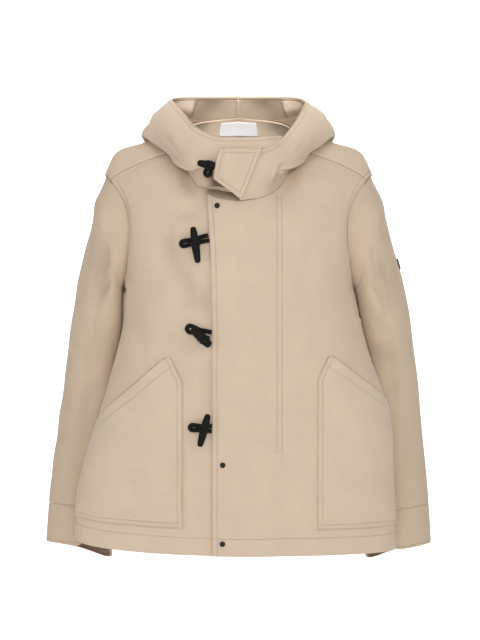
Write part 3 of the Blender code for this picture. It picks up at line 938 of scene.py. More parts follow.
@dataclass(frozen=True)
class NeckForm:
    """The hood and the neck seam under it."""
    neck_y: float = -0.015
    inset: float = 0.0085
    rise: float = 0.018
    lap: float = 0.0038
    profiles: tuple = (
        Profile(0.0, 0.1100, -0.106, 0.118, -0.092, 0.123, -0.068, 0.126, -0.040, 0.121, -0.014, 0.010),
        Profile(23.0, 0.1124, -0.098, 0.118, -0.082, 0.128, -0.058, 0.129, -0.030, 0.122, -0.010, 0.013),
        Profile(45.0, 0.1080, -0.076, 0.113, -0.056, 0.130, -0.043, 0.136, -0.016, 0.112, 0.013, 0.034),
        Profile(65.0, 0.1007, -0.045, 0.110, -0.028, 0.130, -0.022, 0.138, 0.014, 0.112, 0.042, 0.062),
        Profile(85.0, 0.0970, -0.002, 0.112, 0.027, 0.150, 0.003, 0.150, 0.040, 0.119, 0.074, 0.084),
        Profile(100.0, 0.1000, 0.030, 0.120, 0.058, 0.182, 0.028, 0.168, 0.062, 0.128, 0.092, 0.097),
        Profile(120.0, 0.1060, 0.050, 0.130, 0.067, 0.190, 0.005, 0.188, 0.055, 0.132, 0.106, 0.107),
        Profile(150.0, 0.1105, 0.065, 0.139, 0.055, 0.184, -0.085, 0.212, 0.010, 0.136, 0.116, 0.116),
        Profile(180.0, 0.1050, 0.072, 0.139, 0.052, 0.172, -0.120, 0.224, -0.010, 0.139, 0.120, 0.120),
    )

    def read(self, name: str, angle: Points) -> Points:
        """One column of the profiles at angles of 0 to 180 degrees."""
        return spline(column(self.profiles, "angle"), column(self.profiles, name), np.abs(angle))

    def polar(self, angle: Points, radius: Points, z: Points) -> Points:
        """Points round the neck: 0 degrees is the front, positive angles the wearer's left."""
        turn = np.radians(angle)
        return np.stack([radius * np.sin(turn), self.neck_y - radius * np.cos(turn), z], axis=-1)

    def forward(self, angle: Points, under: bool) -> Points:
        """How much the under layer counts as apart from the over one, which hides it where
        the angle is below 0.

        Args:
            angle: the directions, in degrees from the front.
            under: whether the layer is the under one.

        Returns:
            The share at each angle.
        """
        if not under:
            return np.zeros(len(angle))
        return np.where(angle < 0.0, 1.0, 1.0 - smooth(20.0, 48.0, angle))

    def raised(self, angle: Points, under: bool) -> Points:
        """How far the under layer stands up at its foot; its hidden end comes down again."""
        return self.forward(angle, under) * self.rise * (1.0 - smooth(23.0, 42.0, -angle))

    def seam(self, angle: Points, under: bool = False) -> Points:
        """The neck seam."""
        return self.polar(angle, self.read("seam_r", angle) - self.inset * self.forward(angle, under),
                          self.read("seam_z", angle) + self.raised(angle, under))

    def point(self, angle: Points, up: Points, under: bool = False) -> Points:
        """The hood's surface: up runs from 0, the neck seam, to 1, the rim.

        Args:
            angle: the directions, in degrees from the front.
            up: the shares of the way up.
            under: whether the layer is the under one.

        Returns:
            The points.
        """
        front = self.forward(angle, under)
        lines = [self.seam(angle, under)]
        for name in ("under", "fold", "bulge"):
            lines.append(self.polar(angle, self.read(name + "_r", angle) - self.inset * front,
                                    self.read(name + "_z", angle) + self.raised(angle, under)))
        rim_z = self.read("under_layer_rim_z" if under else "rim_z", angle)
        if under:
            hidden = 0.013 + 0.0002 * (np.abs(angle) - 23.0)
            rim_z = np.where(angle < -23.0, hidden, rim_z)
        lines.append(self.polar(angle, self.read("rim_r", angle) - self.inset * front, rim_z))
        place = spline((0.0, 0.16, 0.42, 0.70, 1.0), np.stack(lines), up)
        outward = self.polar(angle, np.ones(len(angle)), up * 0.0) - self.polar(angle, up * 0.0, up * 0.0)
        lap = 0.5 * self.lap * (1.0 - smooth(30.0, 45.0, angle if under else np.abs(angle)))
        return place + outward * (-lap if under else lap)[:, None]


@dataclass(frozen=True)
class BodyForm:
    """The coat's body, from the hem to the shoulder seams."""
    hem_z: float = -0.749
    armpit_z: float = -0.263
    raise_right: float = 0.024
    raise_left: float = 0.003
    raise_power: float = 1.4
    squareness: float = 2.2
    placket_x: float = -0.0475
    placket_top_x: float = -0.0560
    underlap_x: float = 0.030
    lap: float = 0.0038
    below: float = -0.30
    yoke_rise: float = 0.21
    junction: float = 87.0
    junction_s: float = 0.38
    seam_tip: float = 118.0
    seam_gap: float = 0.00035
    stations: tuple = (0.87, 0.63, 0.38, 0.20, 0.0)
    neck: NeckForm = NeckForm()
    levels: tuple = (
        Level(-0.760, 0.3050, 0.2930, -0.026, -0.114, 0.062),
        Level(-0.660, 0.2980, 0.2885, -0.025, -0.117, 0.068),
        Level(-0.590, 0.2830, 0.2850, -0.023, -0.119, 0.076),
        Level(-0.520, 0.2645, 0.2820, -0.020, -0.122, 0.086),
        Level(-0.470, 0.2510, 0.2740, -0.016, -0.125, 0.095),
        Level(-0.395, 0.2310, 0.2480, -0.008, -0.129, 0.110),
        Level(-0.330, 0.2170, 0.2300, 0.001, -0.134, 0.123),
        Level(-0.263, 0.2176, 0.2176, 0.010, -0.138, 0.135),
    )
    front: tuple = (
        Height(0.30, (0.198, -0.075, -0.204), (0.178, -0.098, -0.203), (0.128, -0.122, -0.203),
               (0.075, -0.134, -0.205), (0.0, -0.139, -0.208)),
        Height(0.55, (0.193, -0.081, -0.148), (0.170, -0.097, -0.142), (0.122, -0.116, -0.138),
               (0.073, -0.130, -0.152), (0.0, -0.137, -0.165)),
        Height(0.80, (0.205, -0.062, -0.088), (0.170, -0.072, -0.072), (0.112, -0.078, -0.062),
               (0.074, -0.114, -0.112), (0.0, -0.132, -0.132)),
        Height(1.00, (0.222, -0.030, -0.046), (0.170, -0.031, -0.022), (0.097, -0.020, 0.003),
               (0.077, -0.092, -0.076), (0.0, -0.125, -0.106)),
    )
    back: tuple = (
        Height(0.25, (0.200, 0.088, -0.215), (0.178, 0.108, -0.212), (0.128, 0.126, -0.210),
               (0.075, 0.134, -0.210), (0.0, 0.137, -0.210)),
        Height(0.50, (0.196, 0.096, -0.120), (0.172, 0.110, -0.112), (0.124, 0.122, -0.105),
               (0.075, 0.130, -0.105), (0.0, 0.133, -0.105)),
        Height(0.72, (0.222, 0.062, -0.040), (0.178, 0.074, -0.016), (0.128, 0.082, 0.004),
               (0.083, 0.108, 0.000), (0.0, 0.120, -0.003)),
        Height(0.87, (0.231, 0.018, -0.004), (0.182, 0.018, 0.014), (0.118, 0.012, 0.034),
               (0.096, 0.070, 0.041), (0.0, 0.107, 0.041)),
        Height(1.00, (0.222, -0.030, -0.046), (0.170, -0.031, -0.022), (0.097, -0.020, 0.003),
               (0.0815, 0.056, 0.057), (0.0, 0.090, 0.072)),
    )

    @staticmethod
    def armhole(angle: Points) -> Points:
        """The armhole seam on the wearer's left: -90 is the armpit, 0 the back, 90 the top.

        Args:
            angle: the directions round the hole, in degrees.

        Returns:
            The points.
        """
        turn = np.radians(angle)
        up = np.maximum(np.sin(turn), 0.0)
        down = np.maximum(-np.sin(turn), 0.0)
        x = 0.200 + 0.052 * up * up + 0.0176 * down * down
        return np.stack([x, 0.010 + 0.078 * np.cos(turn), -0.155 + 0.108 * np.sin(turn)], axis=-1)

    def shoulder(self, side: Points) -> Points:
        """The forward shoulder seam, from the armhole (side = 1) to the neck.

        Args:
            side: the shares of the way from the neck.

        Returns:
            The points.
        """
        top = self.front[-1]
        keys = (self.junction_s, self.stations[1], self.stations[0], 1.0)
        corners = np.stack([self.neck.seam(np.array([self.junction]))[0], np.array(top.mid),
                            np.array(top.cap), self.armhole(np.array([self.seam_tip]))[0]])
        return spline(keys, corners, side)

    def top_edge(self, side: Points, is_back: bool, under: bool) -> Points:
        """The upper edge, side = 0 at the centre, 1 at the armhole.

        Args:
            side: the shares of the way out.
            is_back: whether the edge is of the back.
            under: whether it is of the under front.

        Returns:
            The points.
        """
        turned = self.junction * np.minimum(side / self.junction_s, 1.0)
        if is_back:
            inner = self.neck.seam(180.0 - (180.0 - self.junction) * np.minimum(side / self.junction_s, 1.0))
        else:
            inner = self.neck.seam(turned, under)
        return np.where((side >= self.junction_s)[:, None], self.shoulder(side), inner)

    def low(self, side: Points, height: Points, is_back: bool, sign: Points) -> Points:
        """Below the armpit: superellipse sections. height runs from 0, the hem, to 1.

        Args:
            side: the shares of the way round to the side seam.
            height: the shares of the way up.
            is_back: whether it is the back.
            sign: 1 on the left and -1 on the right.

        Returns:
            The points.
        """
        raised = np.where(sign > 0, self.raise_left, self.raise_right)
        z = mix(self.hem_z, self.armpit_z, height)
        keys = column(self.levels, "z")
        width = np.where(sign > 0, spline(keys, column(self.levels, "left"), z),
                         spline(keys, column(self.levels, "right"), z))
        side_y = spline(keys, column(self.levels, "side_y"), z)
        far_y = spline(keys, column(self.levels, "back_y" if is_back else "front_y"), z)
        turn = np.radians(90.0 * (1.0 - side))
        power = 2.0 / self.squareness
        x = width * np.maximum(np.cos(turn), 0.0) ** power
        y = side_y + (far_y - side_y) * np.maximum(np.sin(turn), 0.0) ** power
        lift = raised * side ** self.raise_power * (1.0 - height) ** 2
        return np.stack([x, y, z + lift], axis=-1)

    def high(self, side: Points, share: Points, is_back: bool, under: bool) -> Points:
        """Above the armpit, on the wearer's left: share runs from 0 at the armpit to 1.

        Args:
            side: the shares of the way out.
            share: the shares of the way up.
            is_back: whether it is the back.
            under: whether it is the under front.

        Returns:
            The points.
        """
        rows = self.back if is_back else self.front
        keys = [self.below, 0.0] + column(rows, "share")
        names = ("cap", "mid", "neck", "half", "centre")
        start = -90.0 if is_back else 270.0
        one = np.ones(1)
        step = 1.0 + self.below * self.yoke_rise / (self.armpit_z - self.hem_z)
        lines = [self.armhole(mix(start, self.seam_tip, share))]
        top = [self.armhole(one * self.seam_tip)[0]]
        for station, name in zip(self.stations, names):
            foot = [self.low(one * station, one * step, is_back, one)[0],
                    self.low(one * station, one, is_back, one)[0]]
            lines.append(spline(keys, foot + column(rows, name), share))
            top.append(np.array(getattr(rows[-1], name)))
        lines.append(lines[-2] * (-1.0, 1.0, 1.0))
        top.append(top[-2] * (-1.0, 1.0, 1.0))
        rising = [1.0 - s for s in (1.0, *self.stations, -self.stations[-2])]
        place = spline(rising, np.stack(lines), 1.0 - side)
        plain_top = spline(rising, np.stack(top), 1.0 - side)
        pull = np.maximum(share, 0.0) ** 2.2
        return place + (self.top_edge(side, is_back, under) - plain_top) * pull[:, None]

    def point(self, s: Points, v: Points, is_back: bool = False, under: bool = False) -> Points:
        """The body's surface. s runs from -1, right side seam, to 1, left; v from 0 to 2,
        with 1 at the armpit.

        Args:
            s: the places across.
            v: the places up.
            is_back: whether it is the back.
            under: whether it is the under front.

        Returns:
            The points.
        """
        side = np.abs(s)
        sign = np.where(s >= 0, 1.0, -1.0)
        below = self.low(side, np.minimum(v, 1.0), is_back, sign)
        above = self.high(side, np.maximum(v - 1.0, 0.0), is_back, under)
        place = np.where((v <= 1.0)[:, None], below, above)
        place[:, 0] *= sign
        return place

    def front_point(self, s: Points, v: Points, over: bool) -> Points:
        """A point of the left front (over) or of the right front.

        Args:
            s: the places across.
            v: the places up.
            over: whether the front is the one with the placket.

        Returns:
            The points.
        """
        place = self.point(s, v, under=not over)
        x = place[:, 0]
        if over:
            place[:, 1] -= 0.5 * self.lap * (1.0 - smooth(0.045, 0.085, x))
        else:
            place[:, 1] += 0.5 * self.lap * smooth(-0.120, -0.075, x)
        return place

    def share_at_x(self, x: Points, v: Points) -> Points:
        """The s at which the front's rows v cross x, for small x.

        Args:
            x: a place for each row, in metres.
            v: the rows' places up.

        Returns:
            The s of each row.
        """
        low, high = np.full(len(v), -0.6), np.full(len(v), 0.6)
        for _ in range(26):
            middle = 0.5 * (low + high)
            short = self.point(middle, v)[:, 0] < x
            low = np.where(short, middle, low)
            high = np.where(short, high, middle)
        return 0.5 * (low + high)

    def placket_edge(self, v: Points) -> Points:
        """The x of the left front's edge on rows v."""
        return mix(self.placket_x, self.placket_top_x, smooth(0.9, 2.0, v))


@dataclass(frozen=True)
class Lip:
    """A cuff's slanted lip: how far it rises in front and hangs at the back."""
    front_rise: float
    inner_rise: float
    back_drop: float
    inner_drop: float

    def rise(self, along: Points, turn: Points) -> Points:
        """How far the lip lifts points of the sleeve.

        Args:
            along: shares of the sleeve's length.
            turn: directions round the sleeve, in radians.

        Returns:
            The lift of each point.
        """
        front = np.maximum(-np.cos(turn), 0.0)
        back = np.maximum(np.cos(turn), 0.0)
        inner = np.maximum(-np.sin(turn), 0.0)
        whole = smooth(0.7, 1.0, along) * (self.front_rise * front - self.back_drop * back)
        corner = 2.0 * self.inner_rise * front * inner
        corner = corner - self.inner_drop * np.maximum(np.cos(turn + 0.95), 0.0) ** 3
        return whole + smooth(0.88, 1.0, along) * corner


@dataclass(frozen=True)
class SleeveForm:
    """A sleeve with its cuff, as on the wearer's left."""
    spread: float = 0.005
    lip_left: Lip = Lip(0.002, 0.012, 0.009, 0.010)
    lip_right: Lip = Lip(0.009, 0.024, 0.007, 0.009)
    hug: float = 0.0026
    margin: float = 0.0040
    body: BodyForm = BodyForm()
    rings: tuple = (
        Ring(0.00, 0.222, 0.010, -0.155, 0.0, 0.108, 0.078),
        Ring(0.09, 0.2430, 0.014, -0.176, 15.0, 0.0880, 0.083),
        Ring(0.145, 0.2468, 0.018, -0.1990, 22.0, 0.0730, 0.085),
        Ring(0.20, 0.2536, 0.022, -0.228, 30.0, 0.0630, 0.086),
        Ring(0.30, 0.2647, 0.036, -0.278, 50.0, 0.0518, 0.087),
        Ring(0.42, 0.2755, 0.056, -0.342, 73.0, 0.0480, 0.085),
        Ring(0.54, 0.2840, 0.081, -0.415, 82.0, 0.0512, 0.076),
        Ring(0.72, 0.2930, 0.096, -0.540, 81.0, 0.0580, 0.062),
        Ring(0.90, 0.3040, 0.100, -0.672, 81.0, 0.0620, 0.051),
        Ring(1.00, 0.3092, 0.101, -0.762, 80.0, 0.0630, 0.048),
    )

    def point(self, along: Points, angle: Points, side: Side) -> Points:
        """A point of the sleeve, as on the left: angle 90 is outside, 0 the back.

        Args:
            along: the shares of the way down the arm.
            angle: the directions round it, in degrees.
            side: the arm.

        Returns:
            The points.
        """
        turn = np.radians(angle)
        keys = column(self.rings, "along")
        lean = np.radians(spline(keys, column(self.rings, "lean"), along))
        middle = np.stack([spline(keys, column(self.rings, axis), along) for axis in "xyz"], axis=-1)
        middle[:, 0] += side.value * self.spread * np.sin(math.pi * np.minimum(along, 1.0)) ** 2
        full = self.fullness(along, turn, side)
        wide = spline(keys, column(self.rings, "half_width"), along) * np.sin(turn) * full
        deep = spline(keys, column(self.rings, "half_depth"), along) * np.cos(turn) * full
        place = middle + np.stack([np.sin(lean) * wide, deep, np.cos(lean) * wide], axis=-1)
        place[:, 2] += (self.lip_left if side is Side.LEFT else self.lip_right).rise(along, turn)
        down = np.maximum(-np.sin(turn), 0.0)
        if side is Side.RIGHT:
            place[:, 0] -= self.hug * down ** 2 * np.exp(-((along - 0.37) / 0.13) ** 2)
        place = self.beside(place, side)
        clear = np.stack([0.0002 + 0.0006 * down, down * 0.0, 0.0006 * down], axis=-1)
        seam = BodyForm.armhole(angle) + clear
        return mix(seam, place, smooth(0.0, 0.11, along)[:, None])

    @staticmethod
    def fullness(along: Points, turn: Points, side: Side) -> Points:
        """How much fuller than an ellipse the sleeve is.

        Args:
            along: shares of the sleeve's length.
            turn: directions round the sleeve, in radians.
            side: which sleeve; the wearer's left one lies closer to the body.

        Returns:
            The factor on the distance from the sleeve's middle, at each point.
        """
        inner_front = np.maximum(np.sin(turn) * np.cos(turn), 0.0) * (np.sin(turn) < 0.0)
        outer_front = np.maximum(-np.sin(turn) * np.cos(turn), 0.0) * (np.sin(turn) > 0.0)
        high = 1.0 - smooth(0.55, 0.85, along)
        inner = (0.40 if side is Side.RIGHT else 0.24) * high
        return 1.0 + inner * inner_front + 0.16 * outer_front

    def beside(self, place: Points, side: Side) -> Points:
        """Keep the sleeve beside the body: where it would reach in, it lies on it.

        Args:
            place: points of the sleeve, as on the wearer's left.
            side: which sleeve it is.

        Returns:
            The points, moved sideways where they need to.
        """
        body = self.body
        z = np.clip(place[:, 2], body.hem_z, body.armpit_z)
        keys = column(body.levels, "z")
        width = spline(keys, column(body.levels, side.word), z) + self.margin
        middle = spline(keys, column(body.levels, "side_y"), z)
        front = np.abs(spline(keys, column(body.levels, "front_y"), z) - middle)
        back = np.abs(spline(keys, column(body.levels, "back_y"), z) - middle)
        depth = np.where(place[:, 1] < middle, front, back) + self.margin
        share = np.clip(np.abs(place[:, 1] - middle) / depth, 0.0, 1.0)
        edge = width * (1.0 - share ** body.squareness) ** (1.0 / body.squareness)
        under = 1.0 - smooth(body.armpit_z - 0.004, body.armpit_z + 0.010, place[:, 2])
        return np.stack([place[:, 0] + under * np.maximum(edge - place[:, 0], 0.0), place[:, 1], place[:, 2]],
                        axis=-1)


def grid(rows: int, columns: int, place: Callable[[Points, Points], Points]) -> Points:
    """Rows of points of a surface, from shares up and across of 0 to 1."""
    up, across = np.meshgrid(np.linspace(0, 1, rows), np.linspace(0, 1, columns), indexing="ij")
    return place(up.reshape(-1), across.reshape(-1)).reshape(rows, columns, 3)


def front_chart(points: Points) -> Points:
    """The x and z of points, the chart of the fronts, the back and the pockets."""
    return points.reshape(-1, 3)[:, (0, 2)]


# ---- the pieces ------------------------------------------------------------------------------
@dataclass
class Shop:
    """The finishes, and the lines of stitching gathered from all pieces."""
    felt: bpy.types.Material = field(default_factory=lambda: Felt().make())
    # The sleeves' felt is a darker copy of the body's felt: painted shade for sleeves that lie back from the
    # light.
    sleeve_felt: bpy.types.Material = field(
        default_factory=lambda: Felt("felt_sleeve", tone(206, 184, 161)).make())
    tape: bpy.types.Material = field(
        default_factory=lambda: Weave("tape", tone(218, 202, 187), 0.0009, 35.0).make())
    label: bpy.types.Material = field(
        default_factory=lambda: Weave("label", tone(251, 250, 252), 0.0005, 0.0, 0.55).make())
    dark_cloth: bpy.types.Material = field(
        default_factory=lambda: Weave("dark_cloth", tone(24, 23, 22), 0.0009).make())
    horn: bpy.types.Material = field(default_factory=lambda: Horn().make())
    cord: bpy.types.Material = field(default_factory=lambda: Braid().make())
    snap: bpy.types.Material = field(default_factory=lambda: SnapMetal().make())
    thread: bpy.types.Material = field(default_factory=lambda: Thread().make())
    seams: dict = field(default_factory=dict)

    def sew(self, group: str, line: Points) -> None:
        """Remember a line of stitches."""
        if len(line) > 1:
            self.seams.setdefault(group, []).append(line)


def dress(cloth: Cloth, material: bpy.types.Material, held: Held) -> None:
    """Build a sheet's piece in place of its node, and give the size that it was cut to.

    Args:
        cloth: the sheet.
        material: its finish.
        held: how it is held; not used.
    """
    piece = finish_piece(f"{cloth.name}_cloth", cloth.mesh(), material)
    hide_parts(cloth.name)
    width, length, area = cloth.cut()
    log.info("%s cut: %.3f x %.3f m, area %.4f m2", piece.name, width, length, area)


@dataclass
class Body:
    """Both fronts and the back."""
    shop: Shop
    form: BodyForm = BodyForm()
    rows_low: int = 140
    rows_high: int = 68
    front_columns: int = 116
    back_columns: int = 144
    side_stop: float = 0.9991
    hem_band: float = 0.0324
    hem_lift: float = 0.0016
    edge_line: float = 0.0090
    twin_x: tuple = (0.0700, 0.0785)
    twin_low: float = -0.5576
    twin_top: float = -0.0890
    front_folds: tuple = (
        Fold(((-0.150, -0.150), (-0.122, -0.212), (-0.095, -0.262), (-0.069, -0.325)), -0.0095, 0.021, 0.5),
        Fold(((-0.066, -0.205), (-0.060, -0.260), (-0.058, -0.335)), -0.0065, 0.014, 0.2),
        Fold(((-0.130, -0.120), (-0.092, -0.126), (-0.062, -0.128)), -0.0060, 0.014, 0.5),
        Fold(((-0.064, -0.375), (-0.056, -0.430), (-0.055, -0.500)), -0.0060, 0.015, 0.25),
        Fold(((-0.2215, -0.232), (-0.2165, -0.250), (-0.2105, -0.274)), -0.0065, 0.0050, 0.5, 0.012),
        Fold(((-0.228, -0.240), (-0.221, -0.256), (-0.2135, -0.268)), -0.0045, 0.0040, 0.4, 0.010),
        Fold(((-0.205, -0.290), (-0.186, -0.345), (-0.160, -0.392)), -0.0040, 0.018, 0.4),
        Fold(((-0.140, -0.320), (-0.120, -0.385), (-0.085, -0.470)), -0.0036, 0.022, 0.4),
        Fold(((-0.110, -0.520), (-0.095, -0.600), (-0.100, -0.690)), -0.0026, 0.022, 0.4),
        Fold(((0.2340, -0.246), (0.2270, -0.258), (0.2200, -0.274)), -0.0065, 0.0055, 0.5, 0.012),
        Fold(((0.2370, -0.316), (0.2300, -0.313), (0.2230, -0.308)), -0.0045, 0.0045, 0.4, 0.010),
        Fold(((0.150, -0.180), (0.120, -0.215), (0.100, -0.275)), -0.0034, 0.024, 0.5),
        Fold(((0.200, -0.390), (0.150, -0.420), (0.110, -0.500)), -0.0032, 0.026, 0.4),
        Fold(((0.040, -0.300), (0.030, -0.420), (0.045, -0.560)), -0.0024, 0.030, 0.4),
        Fold(((0.100, -0.560), (0.085, -0.640), (0.090, -0.735)), -0.0030, 0.022, 0.4),
    )
    back_folds: tuple = (
        Fold(((-0.210, -0.235), (-0.165, -0.290), (-0.120, -0.370)), -0.0060, 0.018, 0.5),
        Fold(((0.212, -0.240), (0.160, -0.285), (0.128, -0.355)), -0.0056, 0.017, 0.5),
        Fold(((-0.130, -0.100), (-0.060, -0.135), (0.010, -0.140), (0.075, -0.125)), -0.0040, 0.020, 0.4),
        Fold(((-0.190, -0.360), (-0.100, -0.410), (-0.010, -0.405)), -0.0036, 0.024, 0.4),
        Fold(((0.200, -0.345), (0.110, -0.392), (0.050, -0.440)), -0.0038, 0.022, 0.45),
        Fold(((-0.060, -0.440), (-0.085, -0.560), (-0.075, -0.700)), -0.0050, 0.030, 0.35, 0.09),
        Fold(((0.080, -0.470), (0.105, -0.590), (0.100, -0.720)), -0.0046, 0.028, 0.35, 0.09),
        Fold(((0.020, -0.200), (0.012, -0.300), (0.030, -0.390)), -0.0022, 0.026, 0.3),
    )

    def heights(self) -> Points:
        """The v of each row.

        Returns:
            The places, from the hem up.
        """
        low = np.linspace(0.0, 1.0, self.rows_low, endpoint=False)
        high = np.linspace(1.0, 2.0 - self.form.seam_gap / self.form.yoke_rise, self.rows_high)
        return np.concatenate([low, high])

    def front(self, side: Side) -> Cloth:
        """One front, folded and marked for its stitches.

        Args:
            side: the wearer's side that it is on.

        Returns:
            Its sheet.
        """
        over = side is Side.LEFT
        v = self.heights()
        share = np.linspace(0.0, 1.0, self.front_columns)
        if over:
            first = self.form.share_at_x(self.form.placket_edge(v), v)
            s = mix(first[:, None], self.side_stop, share[None, :])
        else:
            last = self.form.share_at_x(np.full(len(v), self.form.underlap_x), v)
            s = mix(-self.side_stop, last[:, None], share[None, :])
        spread = np.repeat(v[:, None], len(share), axis=1)
        points = self.form.front_point(s.reshape(-1), spread.reshape(-1), over)
        cloth = Cloth(f"front_{side.word}", points.reshape(*s.shape, 3))
        chart = front_chart(cloth.points)
        lift = folded(self.front_folds, chart) + waves(chart, 0.0007, 0.11, 3)
        # painted shade in the fold troughs
        cloth.moved(lift * self.calm(cloth)).paint_trough_shade(lift, 0.34)
        self.throat(cloth, over)
        armhole, shoulder, neck = self.parts(cloth, v, outer="end" if over else "start")
        placket = cloth.edge("start" if over else "end")
        hem = cloth.edge("bottom")
        sewn = [armhole, shoulder, neck, cloth.edge("end" if over else "start")]
        cloth.rolled(sewn)
        cloth.sewn = ("end", "top") if over else ("start", "top")
        cloth.stitched([(armhole, SEAM_LINE), (shoulder, SEAM_LINE), (hem, self.hem_band)])
        cloth.stitched([(armhole, TWIN_LINE), (shoulder, self.edge_line)]
                       + ([(placket, self.edge_line)] if over else []), far=True)
        if over:
            self.twin_seam(cloth)
        self.turn_up(cloth, hem)
        return cloth

    def turn_up(self, cloth: Cloth, hem: Points) -> None:
        """Thicken the hem, where the cloth is turned up inside.

        Args:
            cloth: a sheet of the body.
            hem: its lower edge.
        """
        band = smooth(self.hem_band - 0.004, self.hem_band + 0.002, cloth.distance(hem))
        cloth.hem = self.hem_lift * (1.0 - band)

    def throat(self, cloth: Cloth, over: bool) -> None:
        """The hollow under the tab: the placket's edge stands up, the front under it sinks in, and painted
        shade darkens it.

        Args:
            cloth: a front's sheet.
            over: whether it is the front with the placket.
        """
        x = cloth.points[..., 0]
        if over:
            edge = cloth.distance(cloth.edge("start"))
            cloth.moved(0.0012 * np.exp(-(edge / 0.012) ** 2))
            return
        top = cloth.distance(cloth.edge("top"))
        here = smooth(-0.070, -0.052, x) * (1.0 - smooth(0.018, 0.030, x))
        cloth.moved(-0.007 * here * np.exp(-(top / 0.022) ** 2))
        # painted shade in the hollow under the tab
        cloth.shade = cloth.shade + 1.7 * here * np.exp(-(top / 0.016) ** 2)

    def under_hood(self, cloth: Cloth) -> None:
        """Paint shade on the cloth where the hood's lower fold lies close over it, and along the back neck's
        top edge inside the hood.

        Args:
            cloth: a sheet of the body.
        """
        neck = self.form.neck
        x, y = cloth.points[..., 0].reshape(-1), cloth.points[..., 1].reshape(-1) - neck.neck_y
        angle = np.degrees(np.arctan2(np.abs(x), -y))
        fold_r = neck.read("fold_r", angle)
        gap = np.hypot(np.hypot(x, y) - fold_r, cloth.points[..., 2].reshape(-1) - neck.read("fold_z", angle))
        here = smooth(14.0, 26.0, angle) * (1.0 - smooth(150.0, 170.0, angle))
        shade = here * (np.exp(-(gap / 0.013) ** 2) + 0.5 * np.exp(-(gap / 0.028) ** 2))
        # painted shade along the inside of the back neck's top edge
        inside = smooth(100.0, 120.0, angle) * (1.0 - smooth(0.100, 0.116, np.hypot(x, y)))
        high = smooth(0.055, 0.066, cloth.points[..., 2].reshape(-1))
        cloth.shade = cloth.shade + (shade + 1.4 * inside * high).reshape(cloth.shade.shape)

    def calm(self, cloth: Cloth) -> Points:
        """0 at the top edge, where folds die out, and 1 from 2 cm below it."""
        return smooth(0.0, 0.020, cloth.distance(cloth.edge("top"))).reshape(-1)

    def parts(self, cloth: Cloth, v: Points, outer: str) -> tuple[Points, Points, Points]:
        """The armhole, shoulder and neck stretches of a front's edges.

        Args:
            cloth: the front.
            v: the places up of its rows.
            outer: the edge at the side seam.

        Returns:
            The three stretches.
        """
        side_line = cloth.edge(outer)
        armhole = side_line[v >= 0.995]
        top = cloth.points[-1] if outer == "end" else cloth.points[-1, ::-1]
        gap = np.linalg.norm(top - self.form.neck.seam(np.array([self.form.junction]))[0]
                             * (1.0 if outer == "end" else -1.0, 1.0, 1.0), axis=1)
        turn = int(np.argmin(gap))
        return armhole, top[turn:], top[:turn + 1]

    def twin_seam(self, cloth: Cloth) -> None:
        """Two fine upright seam lines down the wearer's left front.

        Args:
            cloth: the left front.
        """
        x, z = cloth.points[..., 0], cloth.points[..., 2]
        open_run = (z > self.twin_low) & (z < self.twin_top)
        for word, line_x in zip(("near", "far"), self.twin_x):
            beside = open_run & (np.abs(x - line_x) < NEAR_LINE)
            setattr(cloth, word, np.where(beside, x - line_x, getattr(cloth, word)))

    def back(self) -> Cloth:
        """The back, folded and marked.

        Returns:
            Its sheet.
        """
        v = self.heights()
        share = np.linspace(self.side_stop, -self.side_stop, self.back_columns)
        s = np.repeat(share[None, :], len(v), axis=0)
        spread = np.repeat(v[:, None], len(share), axis=1)
        points = self.form.point(s.reshape(-1), spread.reshape(-1), is_back=True)
        cloth = Cloth("back", points.reshape(*s.shape, 3), sewn=("start", "end", "top"))
        chart = front_chart(cloth.points)
        lift = folded(self.back_folds, chart) + waves(chart, 0.0010, 0.13, 8)
        behind = smooth(0.0, 0.05, cloth.points[..., 1].reshape(-1))
        # painted shade in the fold troughs
        cloth.moved(lift * self.calm(cloth) * behind).paint_trough_shade(lift * behind, 0.34)
        hem = cloth.edge("bottom")
        holes = [cloth.edge(where)[v >= 0.995] for where in ("start", "end")]
        cloth.rolled([cloth.edge("start"), cloth.edge("end"), cloth.edge("top")])
        cloth.stitched([(hem, self.hem_band)] + [(hole, SEAM_LINE) for hole in holes])
        cloth.stitched([(hole, TWIN_LINE) for hole in holes], far=True)
        self.turn_up(cloth, hem)
        return cloth

    def make(self) -> dict[str, Cloth]:
        """Build the three pieces.

        Returns:
            Their sheets by name.
        """
        sheets = {}
        for cloth in (self.front(Side.LEFT), self.front(Side.RIGHT), self.back()):
            sheets[cloth.name] = cloth
            self.under_hood(cloth)
            dress(cloth, self.shop.felt, Held.HUNG)
        self.sew(sheets)
        return sheets

    def sew(self, sheets: dict[str, Cloth]) -> None:
        """Gather the lines of stitches.

        Args:
            sheets: the body's sheets by name.
        """
        v = self.heights()
        start = float(np.searchsorted(v, 1.0)) / (len(v) - 1)
        left, right, back = sheets["front_left"], sheets["front_right"], sheets["back"]
        for away in (SEAM_LINE, TWIN_LINE):
            for cloth, where in ((left, "end"), (right, "start"), (back, "start"), (back, "end")):
                stretch = (start, 1.0) if where == "start" else (0.0, 1.0 - start)
                self.shop.sew("body", cloth.line_inside(where, away, *stretch))
        for cloth in (left, right, back):
            self.shop.sew("body", cloth.line_inside("bottom", self.hem_band, 0.01, 0.99))
        self.shop.sew("body", left.line_inside("start", self.edge_line, 0.01, 0.985))
        lines = [[(x, z) for z in np.arange(self.twin_low, self.twin_top, 0.006)] for x in self.twin_x]
        ends = np.linspace(self.twin_x[0] - 0.001, self.twin_x[1] + 0.001, 5)
        lines += [[(x, self.twin_low + step * TACK_ROW) for x in ends] for step in (-1.0, 0.0, 1.0)]
        tree = left.tree()
        for line in lines:
            hits = [tree.ray_cast(Vector((x, -0.5, z)), Vector((0, 1, 0)))[0] for x, z in line]
            self.shop.sew("body", np.array([hit for hit in hits if hit is not None]))


